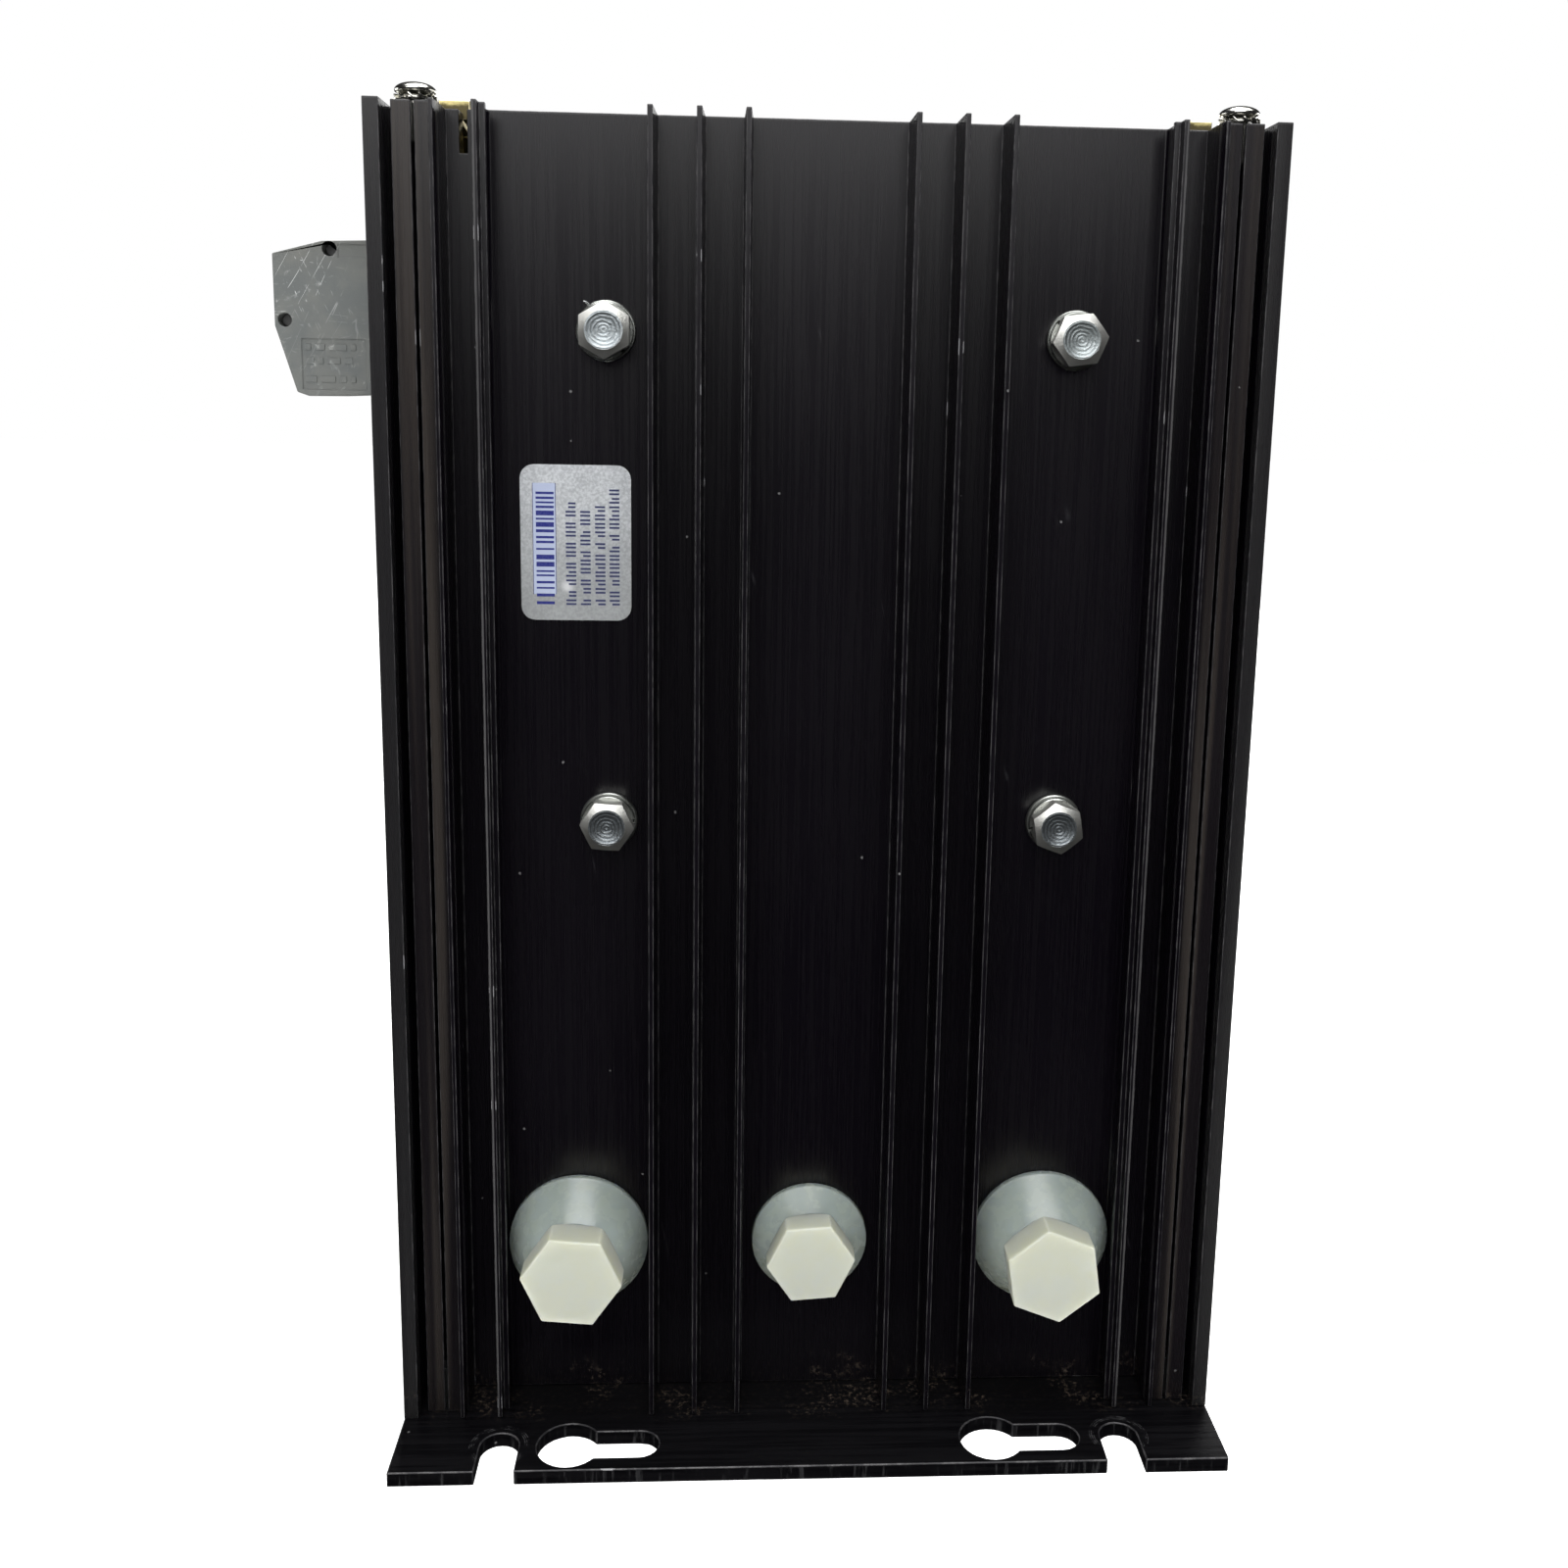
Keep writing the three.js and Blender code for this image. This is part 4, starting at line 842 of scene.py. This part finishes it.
def make_steel_screws():
    head = steel_head()
    # Painted light and shade: lighter and darker copies of one zinc, the upper left head lightest, the
    # upper right darker, the lower heads darker still.
    lit_and_shaded_tones = {"left_high": (0.60, 0.66, 0.69), "right_high": (0.46, 0.51, 0.52)}
    for side in SIDES:
        for row in ROWS:
            node = f"hex_screw_{side}_{row}"
            low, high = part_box(node)
            centre = middle(node)
            screw = duplicate(head, f"steel_screw_{side}_{row}")
            shank = post("shank", 2.95 * MM, -(high.y - low.y) + HEX_HEAD, 0.5 * MM, 32)
            joined(screw, shank)
            stand_out(screw, centre, corner_turn(node, centre), low.y + HEX_HEAD)
            tone = lit_and_shaded_tones.get(f"{side}_{row}", (0.38, 0.42, 0.45))
            finish = ringed_zinc(f"ringed_zinc_{side}_{row}", centre, tone)
            hand_over(screw, finish, [node], smooth=30)
    discard(head)


def washer_profile(inner, outer, thickness, edge):
    return [
        (inner, edge), (inner + edge, 0), (outer - edge, 0), (outer, edge),
        (outer, thickness - edge), (outer - edge, thickness),
        (inner + edge, thickness), (inner, thickness - edge),
    ]


def make_washers():
    flat = turned("flat_blank", washer_profile(*FLAT_WASHER, 0.18 * MM))
    spring = turned("spring_blank", washer_profile(*SPRING_WASHER, 0.14 * MM))
    slit = block("slit", (0, -0.35 * MM, -3 * MM), (9 * MM, 0.35 * MM, 3 * MM))
    settle(slit, (0, 0, SPRING_WASHER[2] / 2), (0.5, 0, 0))
    boolean(spring, "DIFFERENCE", slit)
    for side in SIDES:
        for row in ROWS:
            centre = middle(f"hex_screw_{side}_{row}")
            for blank, kind in ((flat, "flat"), (spring, "spring")):
                node = f"{kind}_washer_{side}_{row}"
                washer = duplicate(blank, f"{kind}_ring_{side}_{row}")
                turn = {"left": -0.75, "right": 2.5}[side] + {"low": 0.9, "high": 0.0}[row]
                stand_out(washer, centre, turn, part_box(node)[1].y)
                hand_over(washer, WASHER_ZINC, [node])
    discard(flat, spring)


def make_burr():
    """A curled sliver raised from the edge of one flat washer."""
    sliver = block("washer_sliver", (0, -0.28 * MM, 0.5 * MM), (0.8 * MM, 0.28 * MM, 0.75 * MM))
    edit_faces(sliver, lambda normal: normal.x > 0.9)
    for step in ((0.55, 0.15, 0.18), (0.4, 0.35, 0.05)):
        bpy.ops.mesh.extrude_region_move(TRANSFORM_OT_translate={"value": [s * MM for s in step]})
        bpy.ops.transform.resize(value=(0.8, 0.8, 0.8))
    bpy.ops.object.mode_set(mode="OBJECT")
    round_edges(sliver, 0.06 * MM)
    centre = middle("hex_screw_left_high")
    settle(sliver, (5.6 * MM, 0, 0))
    stand_out(sliver, centre, math.radians(124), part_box("flat_washer_left_high")[1].y)
    hand_over(sliver, ZINC)


# ---- Nylon screws and collars ------------------------------------------------


def make_nylon_screw(place):
    node = f"nylon_screw_{place}"
    low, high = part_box(node)
    centre = middle(node)
    flats, height = NYLON_FLATS[place], NYLON_HEAD[place]
    corner = flats / math.sqrt(3)
    head = round_edges(post(f"plastic_screw_{place}", corner, 0, height, sides=6), 0.4 * MM, 4)
    blank = turned("blank", [
        (0, 0), (corner - 1.5 * MM, 0), (corner + 0.1 * MM, 1.3 * MM), (corner + 0.1 * MM, height + 1 * MM),
        (0, height + 1 * MM),
    ])
    boolean(head, "INTERSECT", blank)
    thread = flats / 2 - 3.6 * MM
    joined(head, post("shank", thread, -(high.y - low.y) + height, 0.5 * MM, 40))
    stand_out(head, centre, corner_turn(node, centre), low.y + height)
    mark = (centre.x - corner * 0.86, centre.z + 0.6 * MM) if place == "left" else None
    finish = nylon(
        f"screw_nylon_{place}", (0.385, 0.40, 0.345), (0.345, 0.36, 0.33), 0.42,
        centre.z - corner, centre.z + corner * 0.6, mark,
    )
    hand_over(head, finish, [node], smooth=40)


def make_collar(place):
    node = f"nylon_collar_{place}"
    low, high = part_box(node)
    centre = middle(f"nylon_screw_{place}")
    rim, height = (high.x - low.x) / 2, high.y - low.y
    top = COLLAR_TOP[place]
    bore = NYLON_FLATS[place] / 2 - 3.2 * MM
    flank = math.degrees(math.atan2(rim - top, height - COLLAR_LIP))
    profile = [(bore, 0), (rim - 0.4 * MM, 0), (rim, 0.4 * MM)]
    profile += arc((rim - 0.7 * MM, COLLAR_LIP - 0.5 * MM), 0.7 * MM, 0, 90 - flank, 5)
    profile += arc((top - 0.55 * MM, height - 0.6 * MM), 0.6 * MM, 90 - flank, 90, 5)
    profile += [(bore + 0.3 * MM, height), (bore, height - 0.3 * MM)]
    collar = turned(f"collar_{place}", profile, 128)
    stand_out(collar, centre, 0, high.y)
    finish = nylon(
        f"collar_nylon_{place}", (0.26, 0.30, 0.285), (0.15, 0.16, 0.125), 0.24,
        centre.z - rim * 0.9, centre.z + rim * 0.5,
    )
    hand_over(collar, finish, [node], smooth=50)


# ---- Pan-head screws and toothed washers -------------------------------------


def cross_cutter(reach, top, depth):
    """Two tapered blades that make a cross recess."""
    blades = []
    for turn in (0, math.pi / 2):
        blade = block("blade", (-reach, -0.42 * MM, top - depth), (reach, 0.42 * MM, top + 1 * MM))
        edit_faces(blade, lambda normal: normal.z < -0.9)
        bpy.ops.transform.resize(value=(0.45, 0.6, 1))
        bpy.ops.object.mode_set(mode="OBJECT")
        blades.append(settle(blade, (0, 0, 0), (0, 0, turn)))
    return blades


def pan_screw(name, radius, height, thread, length):
    """Domed screw with its head on z = 0 and its shank below."""
    rise = height * 0.34
    dome = [(radius * math.cos(a), rise + (height - rise) * math.sin(a))
            for a in [math.pi / 2 * i / 12 for i in range(13)]]
    tip = 0.5 * MM
    profile = [(0, -length), (thread - tip, -length), (thread, tip - length), (thread, -0.1 * MM)]
    profile += [(thread + 0.1 * MM, 0), (radius * 0.66, 0), (radius - 0.08 * MM, height * 0.24)] + dome
    profile[-1] = (0, height)
    screw = turned(name, profile, 72)
    return boolean(screw, "DIFFERENCE", *cross_cutter(radius * 0.56, height, height * 0.55))


def toothed_ring():
    """Flat ring with teeth twisted out of its plane."""
    ring = turned("toothed_blank", washer_profile(2.0 * MM, 3.3 * MM, 0.5 * MM, 0.08 * MM), 56)
    settle(ring, (0, 0, 0.4 * MM))
    tooth = block("tooth", (2.9 * MM, -0.72 * MM, -0.15 * MM), (4.15 * MM, 0.72 * MM, 0.15 * MM))
    round_edges(tooth, 0.05 * MM)
    settle(tooth, (0, 0, 0), (math.radians(-42), 0, 0))
    teeth = []
    for i in range(TOOTH_COUNT):
        turn = math.tau * i / TOOTH_COUNT
        teeth.append(settle(duplicate(tooth, f"tooth_{i}"), (0, 0, 0.7 * MM), (0, 0, turn)))
    discard(tooth)
    return joined(ring, *teeth)


def make_end_screws():
    screw = pan_screw("pan_blank", 4 * MM, END_HEAD, 1.7 * MM, 9 * MM)
    ring = toothed_ring()
    for side in SIDES:
        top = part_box(f"end_screw_{side}")[1].z
        centre = middle(f"end_screw_{side}")
        head = duplicate(screw, f"pan_screw_{side}")
        turn = {"left": 0.5, "right": 1.1}[side]
        settle(head, (centre.x, centre.y, top - END_HEAD), (0, 0, turn))
        hand_over(head, NICKEL, [f"end_screw_{side}"], smooth=45)
        washer = duplicate(ring, f"toothed_ring_{side}")
        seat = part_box(f"toothed_washer_{side}")[0].z - 0.02 * MM
        settle(washer, (centre.x, centre.y, seat), (0, 0, turn))
        hand_over(washer, NICKEL, [f"toothed_washer_{side}"])
    discard(screw, ring)


def make_cover_screws():
    screw = pan_screw("cover_pan_blank", 2.8 * MM, COVER_HEAD, 1.5 * MM, 6 * MM)
    for side, direction in (("left", -1), ("right", 1)):
        for row in ROWS:
            node = f"cover_screw_{side}_{row}"
            low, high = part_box(node)
            centre = middle(node)
            seat = low.x + COVER_HEAD if direction < 0 else high.x - COVER_HEAD
            piece = duplicate(screw, f"side_screw_{side}_{row}")
            settle(piece, (0, 0, 0), (0, 0, 0.3 + 0.9 * (row == "high")))
            settle(piece, (seat, centre.y, centre.z), (0, direction * math.pi / 2, 0))
            hand_over(piece, ZINC, [node], smooth=45)
    discard(screw)


def make_base_screws():
    for i in range(1, 5):
        node = f"base_screw_{i}"
        piece = round_edges(copied(node, f"countersunk_{i}"), 0.08 * MM)
        hand_over(piece, ZINC, [node])


# ---- Label ------------------------------------------------------------------


def make_label():
    """Foil label: a band of strokes between two ruled lines, and four rows of short ticks."""
    hand_over(copied("label", "foil_label"), FOIL, ["label"])
    front = LABEL_LOW.y
    rng = random.Random(5)
    bold, plain, band = [], [], []

    def bar(group, u0, u1, v0, v1, proud=0.012):
        """Printed bar, from the label's left and bottom edges, in millimetres."""
        group.append(block(
            "bar",
            (LABEL_LOW.x + u0 * MM, front - proud * MM, LABEL_LOW.z + v0 * MM),
            (LABEL_LOW.x + u1 * MM, front + 0.05 * MM, LABEL_LOW.z + v1 * MM),
        ))

    bar(band, 2.6, 7.2, 5.4, 28.5, 0.006)
    bar(plain, 2.5, 2.62, 5.4, 28.5)
    bar(plain, 7.2, 7.32, 5.4, 28.5)
    at = 3.3
    while at < 27.4:
        thick = rng.choice((0.38, 0.5, 0.62, 1.0))
        bar(bold, 3.2, 6.9, at, at + thick)
        at += thick + rng.choice((0.5, 0.75, 1.0))
    rows = ((9.3, (2, 3, 2, 2, 2)), (12.3, (1, 2, 3, 2, 2)), (15.35, (1, 5, 1, 4)), (18.3, (2, 5, 1, 5)))
    for u0, groups in rows:
        at = 3.2
        for count in groups:
            for _ in range(count):
                for _ in range(2):
                    short = rng.choice((0.0, 0.0, 0.55))
                    bar(plain, u0 + short, u0 + 2.1, at, at + 0.4)
                    at += 0.78
                at += 0.18
            at += 0.7
    hand_over(joined(*band), BAND_INK).name = "printed_band"
    hand_over(joined(*bold), BLUE_INK).name = "printed_strokes"
    hand_over(joined(*plain), DARK_INK).name = "printed_ticks"


# ---- Terminal blocks --------------------------------------------------------


def make_block_marks():
    """Moulded bars in the marking field of the first block, and the two pins that close its shell."""
    corner = Vector((SINK_LOW.x, BLOCK_LOW.y, BLOCK_HIGH.z))
    bars = []
    rows = ((21.0, (1.2, 2.0, 3.6, 1.0)), (23.8, (1.8, 1.0, 2.6, 1.6)), (27.6, (2.2, 3.0, 1.4, 1.0)))
    for down, widths in rows:
        at = -18.9
        for wide in widths:
            low = corner + Vector((at * MM, 0.12 * MM, -(down + 1.5) * MM))
            bar = block("bar", low, low + Vector((wide * MM, 0.24 * MM, 1.3 * MM)))
            bars.append(round_edges(bar, 0.1 * MM))
            at += wide + 0.9
    hand_over(joined(*bars), GREY).name = "moulded_bars"
    for i, (out, down) in enumerate(((13.2, 1.9), (22.8, 16.4))):
        centre = Vector((corner.x - out * MM, 0, corner.z - down * MM))
        pin = round_edges(post(f"shell_pin_{i}", 1.3 * MM, 0, 2 * MM, 32), 0.35 * MM, 3)
        stand_out(pin, centre, 0, corner.y + 4.5 * MM)
        hand_over(pin, PIN_GREY)


def make_terminals():
    for i in TERMINALS:
        node = f"terminal_housing_{i}"
        housing = round_edges(copied(node, f"block_housing_{i}"), 0.22 * MM, 2, 30, clamp=False)
        hand_over(housing, GREY, [node])
        screw = round_edges(copied(f"terminal_screw_{i}", f"clamp_screw_head_{i}"), 0.12 * MM)
        hand_over(screw, ZINC, [f"terminal_screw_{i}"], f"clamp_screw_{i}")
        cage = round_edges(copied(f"terminal_cage_{i}", f"clamp_cage_body_{i}"), 0.1 * MM)
        hand_over(cage, BRASS, [f"terminal_cage_{i}"], f"clamp_cage_{i}")


# ---- Cover and what is under it ----------------------------------------------


def make_cover():
    cover = edged(copied("cover", "folded_cover"), 0.22 * MM, CHROMATE, CUT_EDGE)
    strip = block("cut_strip", (-2.4 * MM, -0.1 * MM, -0.3 * MM), (2.4 * MM, 0.1 * MM, 0.3 * MM))
    round_edges(strip, 0.06 * MM)
    strip.data.materials.append(CUT_EDGE)
    notch = Vector((SINK_LOW.x + 17.0 * MM, COVER_LOW.y - 0.08 * MM, SINK_HIGH.z - 3 * MM))
    joined(cover, settle(strip, notch, (0, math.radians(54), 0)))
    hand_over(cover, CHROMATE, ["cover"])


def make_modules():
    for side in SIDES:
        piece = round_edges(copied(f"power_module_{side}", f"module_case_{side}"), 0.5 * MM, 2, 40)
        hand_over(piece, MODULE_BLACK, [f"power_module_{side}"])


def dress_kept_nodes():
    """Gives the pieces that are kept as they are their finishes."""
    finishes = {"trigger_board": BOARD_GREEN, "pulse_transformer": MODULE_BLACK}
    finishes.update({f"terminal_bar_{i}": BRASS for i in TERMINALS})
    for place in THIRDS:
        finishes[f"choke_{place}"] = COPPER
        finishes[f"choke_nut_{place}"] = NUT_NYLON
    for node, finish in finishes.items():
        materials = frame["nodes"][node].data.materials
        materials.clear()
        materials.append(finish)


make_heat_sink()
make_base_plate()
make_steel_screws()
make_washers()
make_burr()
for place in THIRDS:
    make_nylon_screw(place)
    make_collar(place)
make_end_screws()
make_cover_screws()
make_base_screws()
make_label()
make_block_marks()
make_terminals()
make_cover()
make_modules()
dress_kept_nodes()

# ---- Stage, light and camera -------------------------------------------------


def make_stage():
    """Wide flat floor of white paper that gives light of its own, so no horizon shows."""
    bpy.ops.mesh.primitive_plane_add(size=1, location=(0, 0.35, 0))
    floor = bpy.context.object
    floor.name = "studio_floor"
    floor.scale = (12, 12, 1)
    bpy.ops.object.transform_apply(location=True, rotation=True, scale=True)
    material, tree, shader, here = new_finish(
        "pale_paper", Roughness=0.9, Specular_IOR_Level=0.1, Emission_Strength=1.0,
    )
    shader.inputs["Emission Color"].default_value = (1, 1, 1, 1)
    grain = use(tree, GRAIN, Vector=here, Scale=400.0)
    paper = blend_colours(tree, grain["Blotch"], (0.9, 0.9, 0.9), (0.88, 0.88, 0.88))
    feed(tree, shader, Base_Color=paper)
    floor.data.materials.append(material)
    floor.visible_glossy = False


def make_light(name, size, power, location, target):
    data = bpy.data.lights.new(name, "AREA")
    data.shape = "RECTANGLE"
    data.size, data.size_y = size
    data.energy = power
    light = bpy.data.objects.new(name, data)
    light.location = location
    direction = Vector(target) - Vector(location)
    light.rotation_euler = direction.to_track_quat("-Z", "Y").to_euler()
    bpy.context.scene.collection.objects.link(light)


def make_world():
    """White surroundings to the eye, and much dimmer ones in reflections."""
    world = bpy.data.worlds.new("studio")
    bpy.context.scene.world = world
    world.use_nodes = True
    tree = world.node_tree
    background = tree.nodes["Background"]
    paths = tree.nodes.new("ShaderNodeLightPath").outputs
    dim = ramp(tree, paths["Is Glossy Ray"], 0, 1, 0.16, 0.02)
    strength = put(tree, "ShaderNodeMix", {0: paths["Is Camera Ray"], 2: dim, 3: 1.0}, data_type="FLOAT")
    tree.links.new(strength.outputs[0], background.inputs["Strength"])
    background.inputs["Color"].default_value = (1, 1, 1, 1)


def make_camera():
    data = bpy.data.cameras.new("camera")
    data.lens = 34.9
    data.sensor_width = 36
    data.shift_x = -0.0248
    data.shift_y = -0.0737
    camera = bpy.data.objects.new("camera", data)
    camera.location = (-0.01685, -0.34407, 0.22704)
    camera.rotation_euler = [math.radians(angle) for angle in (80.0, -1.06, -2.9)]
    bpy.context.scene.collection.objects.link(camera)
    bpy.context.scene.camera = camera


make_stage()
make_world()
make_light("front_softbox", (1.6, 0.9), 14, (-0.25, -1.3, 0.95), (0, 0, 0.25))
make_light("top_softbox", (1.2, 1.2), 27, (0.1, -0.1, 1.3), (0, 0, 0.1))
make_light("back_softbox", (1.4, 0.5), 11, (0.3, 1.4, 0.27), (0, 0, 0.12))
make_light("left_softbox", (0.9, 0.5), 3.5, (-1.3, 0.6, 0.27), (0, 0.02, 0.12))
make_light("right_softbox", (0.9, 0.5), 3.5, (1.3, 0.6, 0.27), (0, 0.02, 0.12))
make_camera()
bpy.context.scene.view_settings.view_transform = "Standard"
